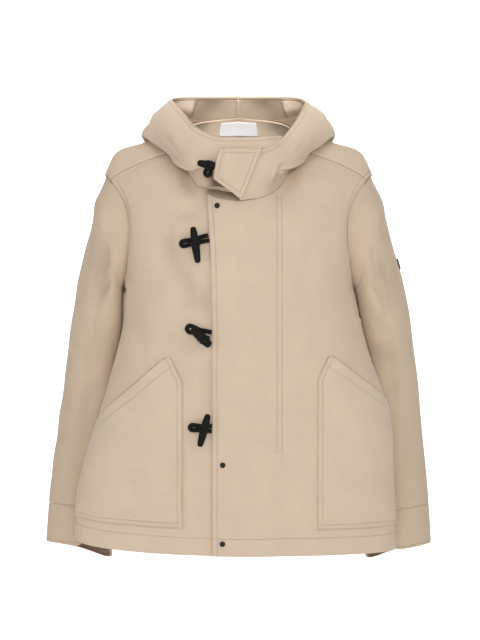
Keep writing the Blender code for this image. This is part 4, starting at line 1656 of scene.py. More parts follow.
@dataclass
class Sleeves:
    """Both sleeves and their cuff bands."""
    shop: Shop
    form: SleeveForm = SleeveForm()
    cuff_start: float = 0.915
    gap: float = 0.0002
    columns: int = 104
    rows: int = 150
    cuff_rows: int = 20
    cuff_hem: float = 0.0060
    left_folds: tuple = (
        Fold(((0.248, -0.170), (0.264, -0.208), (0.278, -0.262), (0.290, -0.345)),
             -0.0085, 0.0190, 0.1, 0.06),
        Fold(((0.222, -0.238), (0.246, -0.252), (0.272, -0.290)), -0.0045, 0.010, 0.5),
        Fold(((0.226, -0.306), (0.256, -0.322), (0.286, -0.372)), -0.0040, 0.013, 0.5),
        Fold(((0.240, -0.360), (0.272, -0.392), (0.318, -0.415)), -0.0030, 0.014, 0.4),
        Fold(((0.262, -0.440), (0.296, -0.452), (0.332, -0.440)), -0.0020, 0.014, 0.4),
        Fold(((0.300, -0.480), (0.312, -0.560), (0.318, -0.640)), -0.0018, 0.020, 0.3),
    )
    right_folds: tuple = (
        Fold(((0.2480, -0.120), (0.2520, -0.195), (0.2575, -0.255), (0.2680, -0.335)),
             -0.0095, 0.0290, 0.1, 0.09),
        Fold(((0.256, -0.300), (0.252, -0.360), (0.254, -0.430)), -0.0055, 0.030, 0.1, 0.06),
        Fold(((0.222, -0.232), (0.238, -0.252), (0.262, -0.285)), -0.0040, 0.009, 0.5),
        Fold(((0.250, -0.395), (0.284, -0.402), (0.320, -0.380)), -0.0030, 0.014, 0.4),
        Fold(((0.256, -0.452), (0.290, -0.468), (0.336, -0.460)), -0.0022, 0.014, 0.4),
        Fold(((0.292, -0.490), (0.308, -0.570), (0.316, -0.640)), -0.0018, 0.020, 0.3),
    )
    back_folds: tuple = (
        Fold(((0.236, -0.190), (0.262, -0.235), (0.292, -0.285)), -0.0060, 0.016, 0.5),
        Fold(((0.236, -0.300), (0.268, -0.330), (0.306, -0.345)), -0.0050, 0.014, 0.5),
        Fold(((0.242, -0.372), (0.280, -0.392), (0.326, -0.385)), -0.0050, 0.013, 0.5),
        Fold(((0.250, -0.428), (0.288, -0.440), (0.334, -0.420)), -0.0040, 0.013, 0.4),
        Fold(((0.280, -0.480), (0.296, -0.560), (0.306, -0.640)), -0.0028, 0.020, 0.3),
    )

    def sheet(self, name: str, side: Side, first: float, last: float, rows: int) -> Cloth:
        """A stretch of a sleeve, folded, in place on its side.

        Args:
            name: the sheet's name.
            side: the arm.
            first: where it starts, as a share of the arm.
            last: where it ends.
            rows: how many rows it has.

        Returns:
            The sheet.
        """
        is_cuff = name.startswith("cuff")

        def place(up: Points, across: Points) -> Points:
            """A point of the stretch."""
            eased = up if is_cuff else up ** 1.12
            return self.form.point(mix(first, last, eased), across * 360.0 * (1 - 1 / self.columns), side)
        points = grid(rows, self.columns, place)
        cloth = Cloth(name, points, closed=True,
                      sewn=("bottom",) if is_cuff else ("bottom", "top"),
                      inner_shade=1.5)
        facing = -cloth.normals()[..., 1].reshape(-1)
        chart = front_chart(points)
        mine = self.left_folds if side is Side.LEFT else self.right_folds
        lift = folded(mine, chart) * smooth(-0.15, 0.35, facing)
        lift += folded(self.back_folds, chart) * smooth(-0.15, 0.35, -facing)
        lift += waves(chart + points.reshape(-1, 3)[:, 1:2], 0.0010, 0.09, 21 + side.value)
        # painted shade in the fold troughs
        cloth.paint_trough_shade(lift, 0.50)
        top = from_line(cloth.flat, cloth.edge("bottom"))[0]
        ends = 0.35 if is_cuff else smooth(0.0, 0.018, top)
        low = smooth(0.0, 0.05, from_line(cloth.flat, cloth.edge("top"))[0])
        cloth.moved(lift * ends * (1.0 if is_cuff else mix(0.3, 1.0, low)))
        if side is Side.RIGHT:
            cloth.points = cloth.points[:, ::-1] * (-1.0, 1.0, 1.0)
            cloth.shade = cloth.shade[:, ::-1]
        return cloth

    def make(self) -> dict[str, Cloth]:
        """Build both sleeves and cuffs.

        Returns:
            Their sheets by name.
        """
        sheets = {}
        for side in Side:
            sleeve = self.sheet(f"sleeve_{side.word}", side, 0.0, self.cuff_start - self.gap, self.rows)
            cuff = self.sheet(f"cuff_{side.word}", side, self.cuff_start + self.gap, 1.0, self.cuff_rows)
            sleeve.rolled([sleeve.edge("bottom"), sleeve.edge("top")], 0.0005)
            cuff.rolled([cuff.edge("bottom")], 0.0005)
            cuff.stitched([(cuff.edge("top"), self.cuff_hem)])
            cuff.hem = np.full(cuff.shape, 0.0014)
            self.shop.sew("sleeves", cuff.line_inside("top", self.cuff_hem))
            for cloth in (sleeve, cuff):
                sheets[cloth.name] = cloth
                # sleeves and cuffs take the darker felt, painted shade
                dress(cloth, self.shop.sleeve_felt, Held.HUNG)
        return sheets


@dataclass
class Hood:
    """The hood's two halves, with its tape, and the throat tab."""
    shop: Shop
    neck: NeckForm = NeckForm()
    first_up: float = 0.010
    centre_gap: float = 0.06
    columns: int = 96
    rows: int = 88
    rim_line: float = 0.0085
    tab_line: float = 0.0080
    girth: float = 0.15
    height: float = 0.30
    roll: float = 0.016
    tab_low: tuple = ((-20.0, 0.36), (3.0, 0.05))
    tab_high: tuple = ((-15.0, 1.0), (20.0, 0.985))
    left_folds: tuple = (
        (((33, 0.18), (34, 0.36), (36, 0.58)), -0.0080, 0.0065, 0.5),
        (((36, 0.40), (47, 0.38), (65, 0.32), (86, 0.26)), -0.0100, 0.0085, 0.7),
        (((20, 0.72), (46, 0.66), (70, 0.72)), -0.0022, 0.016, 0.4),
        (((158, 0.80), (161, 0.90), (162, 1.0)), 0.0050, 0.022, 0.2),
        (((120, 0.40), (145, 0.52), (165, 0.60)), -0.0050, 0.020, 0.5),
        (((100, 0.62), (120, 0.70), (140, 0.70)), -0.0030, 0.018, 0.4),
    )
    right_folds: tuple = (
        (((34, 0.34), (40, 0.34), (52, 0.36), (72, 0.30), (90, 0.27)), -0.0100, 0.0085, 0.7),
        (((30, 0.66), (50, 0.60), (75, 0.68)), -0.0020, 0.016, 0.4),
        (((158, 0.80), (160, 0.90), (161, 1.0)), 0.0045, 0.022, 0.2),
        (((112, 0.42), (138, 0.50), (160, 0.62)), -0.0050, 0.020, 0.5),
        (((95, 0.60), (118, 0.72), (142, 0.74)), -0.0030, 0.018, 0.4),
    )

    def folds(self, side: Side) -> list[Fold]:
        """A half's folds, moved from degrees and shares to metres.

        Args:
            side: the half.

        Returns:
            The folds.
        """
        rows = self.left_folds if side is Side.LEFT else self.right_folds
        return [Fold(tuple((math.radians(angle) * self.girth, up * self.height) for angle, up in path),
                     depth, width, echo, 0.02) for path, depth, width, echo in rows]

    def lift(self, side: Side, angle: Points, up: Points) -> Points:
        """How far a half's surface is moved out at its angles and heights.

        Args:
            side: the half.
            angle: the directions, in degrees.
            up: the shares of the way up.

        Returns:
            The lift at each.
        """
        chart = np.stack([np.radians(angle) * self.girth, up * self.height], axis=-1)
        ends = smooth(0.03, 0.14, up)
        beside = smooth(104.0, 128.0, angle) * (1.0 - smooth(139.0, 144.5, angle))
        roll = -self.roll * beside * smooth(0.68, 0.80, up) * (1.0 - smooth(0.93, 1.0, up))
        return (folded(self.folds(side), chart) + waves(chart, 0.0008, 0.08, 5 + side.value) + roll) * ends

    def half(self, side: Side) -> Cloth:
        """One half of the hood.

        Args:
            side: the half; the right one lies under the left at the throat.

        Returns:
            Its sheet.
        """
        under = side is Side.RIGHT
        first = -50.0 if under else 1.0
        last = 180.0 - self.centre_gap
        up, angle = np.meshgrid(np.linspace(self.first_up, 1.0, self.rows),
                                np.linspace(first, last, self.columns), indexing="ij")
        points = self.neck.point(angle.reshape(-1), up.reshape(-1), under)
        cloth = Cloth(f"hood_{side.word}", points.reshape(*up.shape, 3),
                      sewn=("bottom", "start" if under else "end"))
        lift = self.lift(side, angle.reshape(-1), up.reshape(-1))
        flat_lap = smooth(22.0, 34.0, np.abs(angle.reshape(-1)))
        inside = smooth(96.0, 112.0, angle.reshape(-1)) * smooth(0.66, 0.74, up.reshape(-1))
        # painted shade in the fold troughs
        cloth.moved(lift * flat_lap).paint_trough_shade(lift * flat_lap * (1.0 - inside), 0.60, 0.009)
        # Painted shade: darker on the hood's lower band under its fold, and most on the strip just above the
        # neck seam towards the back.
        foot = 1.0 - smooth(0.10, 0.22, up)
        below = smooth(18.0, 30.0, angle) * (1.0 - smooth(0.30, 0.40, up))
        cloth.shade = cloth.shade + 1.3 * smooth(80.0, 100.0, angle) * foot + 0.5 * below
        if under:
            self.hollow(cloth, angle, up)
            cloth.points = cloth.points[:, ::-1] * (-1.0, 1.0, 1.0)
            cloth.shade = cloth.shade[:, ::-1]
        cloth.rolled([cloth.edge("bottom"), cloth.edge("start" if under else "end")])
        rim = cloth.edge("top")
        cloth.stitched([(rim, self.rim_line)])
        cloth.hem = 0.0018 * (1.0 - smooth(self.rim_line - 0.003, self.rim_line + 0.003,
                                           cloth.distance(rim)))
        self.shop.sew("hood", cloth.line_inside("top", self.rim_line, 0.01, 0.99))
        return cloth

    def hollow(self, cloth: Cloth, angle: Points, up: Points) -> None:
        """Sink the under layer in beneath the tab, where the collar gapes, and paint shade into that hollow.

        Args:
            cloth: the under layer's sheet, before it is mirrored.
            angle: the direction of each point.
            up: its share of the way up.
        """
        here = smooth(-18.0, -8.0, angle) * (1.0 - smooth(24.0, 34.0, angle))
        cloth.moved(-0.007 * here * (1.0 - smooth(0.10, 0.42, up)))
        # painted shade in the hollow under the tab
        cloth.shade = cloth.shade + 1.7 * here * (1.0 - smooth(0.16, 0.36, up))

    def tab(self) -> Cloth:
        """The throat tab, laid on the left half's end.

        Returns:
            Its sheet.
        """
        up, across = np.meshgrid(np.linspace(0, 1, 34), np.linspace(0, 1, 36), indexing="ij")
        angle, height = (mix(mix(*low, across), mix(*high, across), up).reshape(-1)
                         for low, high in zip(zip(*self.tab_low), zip(*self.tab_high)))
        points = self.neck.point(np.abs(angle), height)
        points[:, 0] *= np.where(angle < 0, -1.0, 1.0)
        cloth = Cloth("throat_tab", points.reshape(*up.shape, 3), thickness=0.0030)
        rim_out = np.minimum(cloth.distance(cloth.edge("start")), cloth.distance(cloth.edge("bottom")))
        cloth.moved((self.neck.lap + 0.0012 * smooth(0.0, 0.02, rim_out)).reshape(-1))
        edges = ("bottom", "top", "start", "end")
        cloth.stitched([(cloth.edge(where), self.tab_line) for where in edges])
        for where in edges:
            self.shop.sew("hood", cloth.line_inside(where, self.tab_line, 0.14, 0.86))
        return cloth

    def tape(self) -> Cloth:
        """The binding on the inside of the centre-back seam.

        Returns:
            Its sheet.
        """
        up = np.linspace(0.72, 0.985, 30)
        rows = [self.neck.point(np.full(30, angle), up) for angle in (178.6, 179.3, 180.0)]
        rows += [row * (-1.0, 1.0, 1.0) for row in rows[1::-1]]
        cloth = Cloth("hood_tape", np.stack(rows, axis=1), thickness=0.0010)
        return cloth.moved(np.full(cloth.shape, -0.0035))

    def make(self) -> dict[str, Cloth]:
        """Build the hood's pieces.

        Returns:
            Their sheets by name.
        """
        sheets = {}
        for cloth, material, slot, rests in (
                (self.half(Side.LEFT), self.shop.felt, "felt", "back"),
                (self.half(Side.RIGHT), self.shop.felt, "felt", "back"),
                (self.tab(), self.shop.felt, "felt", "hood_left"),
                (self.tape(), self.shop.tape, "tape", "hood_left")):
            sheets[cloth.name] = cloth
            dress(cloth, material, Held.HUNG if rests == "back" else Held.LAID)
        return sheets


@dataclass
class Pocket:
    """A large patch pocket with a chamfered inner corner and a slanted opening."""
    shop: Shop
    coat: Body
    side: Side
    inner_x: float
    chamfer_z: float
    top_x: float
    top_z: float
    low_z: float
    bottom_z: float
    outer: float = 0.985
    tip: float = 0.010
    stand: float = 0.0031
    puff: float = 0.0052
    rows: int = 84
    columns: int = 56
    opening_hem: float = 0.0200
    folds: tuple = ()

    def shares(self, z: Points) -> tuple[Points, Points]:
        """The s of the inner and outer edge at heights z.

        Args:
            z: the heights.

        Returns:
            The inner and the outer ones.
        """
        form = self.coat.form
        v = (z - form.hem_z) / (form.armpit_z - form.hem_z)
        rise = np.clip((z - self.chamfer_z) / (self.top_z - self.chamfer_z), 0.0, 1.0)
        inner_x = mix(self.inner_x, self.top_x - self.tip, rise)
        inner = np.abs(form.share_at_x(self.side.value * inner_x, v))
        top = np.abs(form.share_at_x(np.full(len(z), self.side.value * self.top_x), v))
        climb = np.clip((z - self.low_z) / (self.top_z - self.low_z), 0.0, 1.0)
        return inner, np.where(z > self.low_z, mix(self.outer, top, climb ** 0.72), self.outer)

    def sheet(self) -> Cloth:
        """The pocket's sheet, on the front.

        Returns:
            The sheet.
        """
        form = self.coat.form
        z = np.linspace(self.bottom_z, self.top_z, self.rows)
        inner, outer = self.shares(z)
        share = np.linspace(0.0, 1.0, self.columns)
        s = self.side.value * mix(inner[:, None], outer[:, None], share[None, :])
        v = (z - form.hem_z) / (form.armpit_z - form.hem_z)
        spread = np.repeat(v[:, None], self.columns, axis=1)
        points = form.front_point(s.reshape(-1), spread.reshape(-1), self.side is Side.LEFT)
        points = points.reshape(self.rows, self.columns, 3)
        if self.side is Side.RIGHT:
            points = points[:, ::-1]
        cloth = Cloth(f"pocket_{self.side.word}", points)
        chart = front_chart(points)
        under = folded(self.coat.front_folds, chart) + waves(chart, 0.0007, 0.11, 3)
        start, end = ("start", "end") if self.side is Side.LEFT else ("end", "start")
        inner_line, outer_line = cloth.edge(start), cloth.edge(end)
        low = z <= self.low_z + 0.004
        sewn = [inner_line, cloth.edge("bottom"), outer_line[low]]
        gap = np.min([cloth.distance(line) for line in sewn], axis=0).reshape(-1)
        mouth = cloth.distance(outer_line[~low]).reshape(-1)
        lift = under + self.stand + self.puff * smooth(0.002, 0.045, gap)
        own = folded(self.folds, chart) * smooth(0.0, 0.03, gap)
        lift += own
        # painted shade in the fold troughs
        cloth.moved(lift).paint_trough_shade(under + own, 0.34)
        bottom = cloth.edge("bottom")
        cloth.stitched([(line, SEAM_LINE) for line in (inner_line, bottom, outer_line[low])]
                       + [(outer_line[~low], self.opening_hem)])
        cloth.stitched([(line, TWIN_LINE) for line in (inner_line, bottom)], far=True)
        cloth.hem = 0.0012 * (1.0 - smooth(self.opening_hem - 0.003, self.opening_hem + 0.002,
                                           mouth)).reshape(cloth.shape)
        turn = float(low.sum()) / self.rows
        for away in (SEAM_LINE, TWIN_LINE):
            for where in (start, "bottom"):
                self.shop.sew("pockets", cloth.line_inside(where, away, 0.01, 0.99))
        stretch = (0.02, 1.0 - turn) if self.side is Side.LEFT else (turn, 0.98)
        self.shop.sew("pockets", cloth.line_inside(end, self.opening_hem, *stretch))
        self.tack(cloth, int(low.sum()))
        self.tack(cloth, 2)
        return cloth

    def tack(self, cloth: Cloth, row: int) -> None:
        """Sew a bar tack from the pocket's outer edge inwards, along one row.

        Args:
            cloth: the pocket's sheet.
            row: the row.
        """
        way = -1 if self.side is Side.LEFT else 1
        face = cloth.points + cloth.normals() * 0.5 * cloth.thickness
        line = face[row, ::way]
        run = np.linalg.norm(line - line[0], axis=1)
        up = unit(face[row + 1, ::way][0] - line[0])
        for step in (-1.0, 0.0, 1.0):
            self.shop.sew("pockets", line[(run > 0.001) & (run < 0.013)] + up * step * TACK_ROW)

    def make(self) -> Cloth:
        """Build the pocket.

        Returns:
            Its sheet.
        """
        cloth = self.sheet()
        dress(cloth, self.shop.felt, Held.LAID)
        return cloth


def smooth_mesh(name: str, points: Sequence, faces: Sequence, places: Sequence = ()) -> bpy.types.Mesh:
    """A smooth mesh.

    Args:
        name: its name.
        points: its vertices.
        faces: their numbers, face by face.
        places: a place in metres for each corner of each face, if it has a UV map.

    Returns:
        The mesh.
    """
    mesh = bpy.data.meshes.new(name)
    mesh.from_pydata(points, [], faces)
    if places:
        layer = mesh.uv_layers.new(name="cut")
        layer.data.foreach_set("uv", np.array(places, np.float32).reshape(-1))
    mesh.shade_smooth()
    mesh.update()
    return mesh


def bar_mesh(name: str, path: Points, radii: Points, sides: int = 20, squash: float = 1.0,
             lumps: float = 0.0) -> bpy.types.Mesh:
    """A closed round bar through points.

    Args:
        name: the mesh's name.
        path: its middle line.
        radii: its radius at each point.
        sides: faces round it.
        squash: its thickness along Y, as a share of its width.
        lumps: how uneven it is, as a share of its radius.

    Returns:
        The mesh, with a UV map in metres.
    """
    flow = unit(np.gradient(path, axis=0))
    deep = np.tile(np.array([0.0, 1.0, 0.0]), (len(path), 1))
    deep = unit(deep - flow * np.sum(deep * flow, axis=1)[:, None])
    wide = np.cross(deep, flow)
    turn = np.linspace(0.0, math.tau, sides, endpoint=False)
    dice = np.random.default_rng(len(path) * 7 + sides)
    wobble = 1.0 + lumps * np.cumsum(dice.normal(size=(len(path), 1)), axis=0) / math.sqrt(len(path))
    ring = (wide[:, None, :] * np.cos(turn)[None, :, None]
            + deep[:, None, :] * np.sin(turn)[None, :, None] * squash)
    skin = path[:, None, :] + ring * (radii[:, None] * wobble)[:, :, None]
    points = np.vstack([skin.reshape(-1, 3), path[:1], path[-1:]])
    count = len(path)
    run = np.concatenate([[0.0], np.linalg.norm(np.diff(path, axis=0), axis=1).cumsum()])
    faces, places = [], []
    girth = math.tau * float(radii.max())
    for i in range(count - 1):
        for j in range(sides):
            after = (j + 1) % sides
            faces.append((i * sides + j, (i + 1) * sides + j, (i + 1) * sides + after, i * sides + after))
            u, w = girth * j / sides, girth * (j + 1) / sides
            places += [(u, run[i]), (u, run[i + 1]), (w, run[i + 1]), (w, run[i])]
    for end, middle in ((0, count * sides), (count - 1, count * sides + 1)):
        for j in range(sides):
            after = (j + 1) % sides
            pair = (end * sides + j, end * sides + after)
            faces.append((middle,) + (pair if end == 0 else pair[::-1]))
            places += [(0.0, run[end]), (girth * j / sides, run[end]), (girth * j / sides, run[end])]
    return smooth_mesh(name, points.tolist(), faces, places)


def joined(name: str, meshes: Sequence[bpy.types.Mesh]) -> bpy.types.Mesh:
    """Several meshes as one, with their UV maps.

    Args:
        name: the name.
        meshes: the meshes, which are taken away.

    Returns:
        The mesh.
    """
    points, faces, places, base = [], [], [], 0
    for mesh in meshes:
        points += [tuple(v.co) for v in mesh.vertices]
        faces += [tuple(base + i for i in face.vertices) for face in mesh.polygons]
        places += [tuple(d.uv) for d in mesh.uv_layers["cut"].data]
        base += len(mesh.vertices)
        bpy.data.meshes.remove(mesh)
    return smooth_mesh(name, points, faces, places)


@dataclass
class Toggle:
    """A horn toggle on its doubled cord loop; places are x and z, seen from the front."""
    shop: Shop
    number: int
    start: tuple
    end: tuple
    thick: float
    loop_tip: tuple
    loop_root: tuple
    thick_radius: float = 0.0072
    tip_radius: float = 0.0046
    cord: float = 0.0040
    half: float = 0.0046
    gap: float = 0.0005

    def path(self, depth: float) -> Points:
        """The toggle's middle line, a little bowed.

        Args:
            depth: the y of its lowest point.

        Returns:
            The line.
        """
        share = np.linspace(0.0, 1.0, 40)
        x = mix(self.start[0], self.end[0], share)
        z = mix(self.start[1], self.end[1], share)
        y = np.full(40, depth) + 0.0016 * (2 * share - 1) ** 2
        return np.stack([x, y, z], axis=-1)

    def horn(self, depth: float) -> bpy.types.Mesh:
        """The toggle alone.

        Args:
            depth: the y of its middle line.

        Returns:
            Its mesh.
        """
        share = np.linspace(0.0, 1.0, 40)
        reach = np.where(share < self.thick, share / self.thick, (1 - share) / (1 - self.thick))
        body = mix(self.tip_radius, self.thick_radius, 1.0 - (1.0 - reach) ** 2)
        waist = 1.0 - 0.16 * np.exp(-((share - self.thick) / 0.075) ** 2)
        run = np.linalg.norm(np.subtract(self.end, self.start)) * np.minimum(share, 1 - share)
        cap = np.sqrt(np.clip(1.0 - (1.0 - np.minimum(run / 0.0026, 1.0)) ** 2, 0.02, 1.0))
        return bar_mesh(f"toggle_{self.number}", self.path(depth), body * waist * cap, 28, 0.86, 0.02)

    def loop(self, depth: float, horn_depth: float) -> bpy.types.Mesh:
        """The doubled cord, with its turn round the toggle's waist.

        Args:
            depth: the y of the cord's middle line.
            horn_depth: the y of the toggle's.

        Returns:
            Its mesh.
        """
        root, tip = np.array(self.loop_root), np.array(self.loop_tip)
        run = tip - root
        length = float(np.linalg.norm(run))
        run = run / length
        across = np.array([-run[1], run[0]])

        def strand(shares: Points, side: Points) -> list[Points]:
            """Places along one side of the doubled cord, pinched towards its middle.

            Args:
                shares: the shares of the way from root to tip.
                side: the way out to that side.

            Returns:
                The places.
            """
            return [root + run * length * share
                    + side * self.half * (1.0 - 0.35 * math.exp(-((share - 0.55) / 0.22) ** 2))
                    for share in shares]
        tip_turn = [root + run * (length + self.half * math.sin(turn)) + across * self.half * math.cos(turn)
                    for turn in np.linspace(0.0, math.pi, 12)[1:-1]]
        flat = np.array(strand(np.linspace(0.0, 1.0, 16), across) + tip_turn
                        + strand(np.linspace(1.0, 0.0, 16), -across))
        path = np.stack([flat[:, 0], np.full(len(flat), depth), flat[:, 1]], axis=-1)
        parts = [bar_mesh("strand", path, np.full(len(path), self.cord), 16)]
        start, end = np.array(self.start), np.array(self.end)
        waist = mix(start, end, self.thick)
        axis = (end - start) / np.linalg.norm(end - start)
        side = np.array([-axis[1], axis[0]])
        for shift in (-0.0026, 0.0026):
            turn = np.linspace(0.0, math.tau, 33)
            wide = self.thick_radius * 0.84 + 0.0011
            ring = waist + axis * shift + side * (np.cos(turn) * wide)[:, None]
            y = horn_depth + np.sin(turn) * wide * 0.92
            y = np.minimum(y, depth + 0.001)
            path = np.stack([ring[:, 0], y, ring[:, 1]], axis=-1)
            parts.append(bar_mesh("turn", path, np.full(len(path), 0.0019), 12))
        return joined(f"toggle_loop_{self.number}", parts)

    def make(self, rest: Callable[[float, float], float]) -> None:
        """Build the toggle and its loop on the cloth whose face is at rest(x, z).

        Args:
            rest: gives the y of the cloth's face.
        """
        face = min(rest(*self.loop_root), rest(*self.loop_tip))
        depth = face - self.cord - self.gap
        horn_depth = depth - self.cord - self.gap - self.thick_radius * 0.9
        loop = finish_piece(f"toggle_loop_{self.number}_cord", self.loop(depth, horn_depth),
                            self.shop.cord)
        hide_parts(f"toggle_loop_{self.number}")
        horn = finish_piece(f"toggle_{self.number}_horn", self.horn(horn_depth), self.shop.horn)
        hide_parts(f"toggle_{self.number}")


@dataclass
class Snap:
    """A domed snap cap with a rolled rim."""
    shop: Shop
    number: int
    x: float
    z: float
    radius: float = 0.0050
    height: float = 0.0022

    def make(self, rest: Callable[[float, float], float]) -> None:
        """Turn the cap's outline round its axis, on the cloth at rest(x, z).

        Args:
            rest: gives the y of the cloth's face.
        """
        outline = ((0.0, 1.0), (0.30, 0.99), (0.52, 0.94), (0.66, 0.80), (0.72, 0.66), (0.78, 0.66),
                   (0.86, 0.78), (0.94, 0.74), (1.0, 0.52), (0.99, 0.22), (0.92, 0.0))
        y = min(rest(self.x + dx, self.z + dz) for dx, dz in
                ((self.radius, 0), (-self.radius, 0), (0, self.radius), (0, -self.radius))) - 0.0004
        sides = 40
        points = [(self.x, y - self.height, self.z)]
        for share, high in outline[1:]:
            for i in range(sides):
                turn = math.tau * i / sides
                points.append((self.x + self.radius * share * math.cos(turn), y - self.height * high,
                               self.z + self.radius * share * math.sin(turn)))
        points.append((self.x, y, self.z))
        faces = []
        for i in range(sides):
            after = (i + 1) % sides
            faces.append((0, 1 + i, 1 + after))
            for ring in range(len(outline) - 2):
                base = 1 + ring * sides
                faces.append((base + i, base + sides + i, base + sides + after, base + after))
            base = 1 + (len(outline) - 2) * sides
            faces.append((base + i, len(points) - 1, base + after))
        mesh = smooth_mesh(f"snap_{self.number}", points, faces)
        cap = finish_piece(f"snap_{self.number}_cap", mesh, self.shop.snap)
        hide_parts(f"snap_{self.number}")


@dataclass
class Fastenings:
    """The toggles and snap caps down the front."""
    shop: Shop
    over: Cloth
    under: Cloth
    hood: Cloth

    def rest(self, sheets: Sequence[Cloth]) -> Callable[[float, float], float]:
        """A function that gives the y of the foremost of some sheets at x and z.

        Args:
            sheets: the sheets.

        Returns:
            The function.
        """
        trees = [sheet.tree() for sheet in sheets]

        def find(x: float, z: float) -> float:
            """The y of the cloth's outer face."""
            hits = [tree.ray_cast(Vector((x, -0.6, z)), Vector((0, 1, 0)))[0] for tree in trees]
            return min(hit.y for hit in hits if hit is not None)
        return find

    def make(self) -> None:
        """Build all of them."""
        collar = self.rest([self.hood, self.under])
        front = self.rest([self.over, self.under])
        beside = self.rest([self.under])
        Toggle(self.shop, 1, (-0.0738, -0.0374), (-0.0400, -0.0450), 0.62,
               (-0.0555, -0.0554), (-0.0485, -0.0345)).make(collar)
        Toggle(self.shop, 2, (-0.0815, -0.1530), (-0.0725, -0.2180), 0.48,
               (-0.0985, -0.1830), (-0.0535, -0.1722)).make(beside)
        Toggle(self.shop, 3, (-0.0835, -0.3350), (-0.0500, -0.3665), 0.58,
               (-0.0870, -0.3360), (-0.0500, -0.3480), thick_radius=0.0086, tip_radius=0.0056,
               half=0.0058).make(beside)
        Toggle(self.shop, 4, (-0.0545, -0.4890), (-0.0700, -0.5480), 0.48,
               (-0.0830, -0.5140), (-0.0480, -0.5160)).make(beside)
        for number, (x, z) in enumerate(((-0.0385, -0.1140), (-0.0285, -0.5820), (-0.0290, -0.7250)), 1):
            Snap(self.shop, number, x, z).make(front)


@dataclass
class Trims:
    """The plain neck label and the plain dark tab on the wearer's left upper arm."""
    shop: Shop
    body: BodyForm = BodyForm()
    sleeve: SleeveForm = SleeveForm()
    half_width: float = 0.072

    def label(self) -> Cloth:
        """The label, inside the back neck.

        Returns:
            Its sheet.
        """
        v, s = np.meshgrid(np.linspace(1.865, 1.975, 14), np.linspace(self.half_width, -self.half_width, 26),
                           indexing="ij")
        points = self.body.point(s.reshape(-1), v.reshape(-1), is_back=True).reshape(*v.shape, 3)
        cloth = Cloth("neck_label", points, thickness=0.0008)
        return cloth.moved(np.full(cloth.shape, -0.0036))

    def tab(self, sleeve: Cloth) -> Cloth:
        """The tab, laid on the sleeve.

        Args:
            sleeve: the left sleeve.

        Returns:
            Its sheet.
        """
        angle, along = np.meshgrid(np.linspace(58.0, 117.0, 24), np.linspace(0.244, 0.270, 8),
                                   indexing="xy")
        points = self.sleeve.point(along.reshape(-1), angle.reshape(-1), Side.LEFT).reshape(*angle.shape, 3)
        cloth = Cloth("sleeve_tab", points, thickness=0.0020)
        tree = sleeve.tree()
        normals = cloth.normals()
        for r in range(points.shape[0]):
            for c in range(points.shape[1]):
                found, normal, _, _ = tree.find_nearest(Vector(points[r, c]))
                points[r, c] = np.array(found) + normals[r, c] * 0.0014
        return cloth

    def make(self, sleeve: Cloth) -> None:
        """Build both."""
        dress(self.label(), self.shop.label, Held.LAID)
        dress(self.tab(sleeve), self.shop.dark_cloth, Held.LAID)


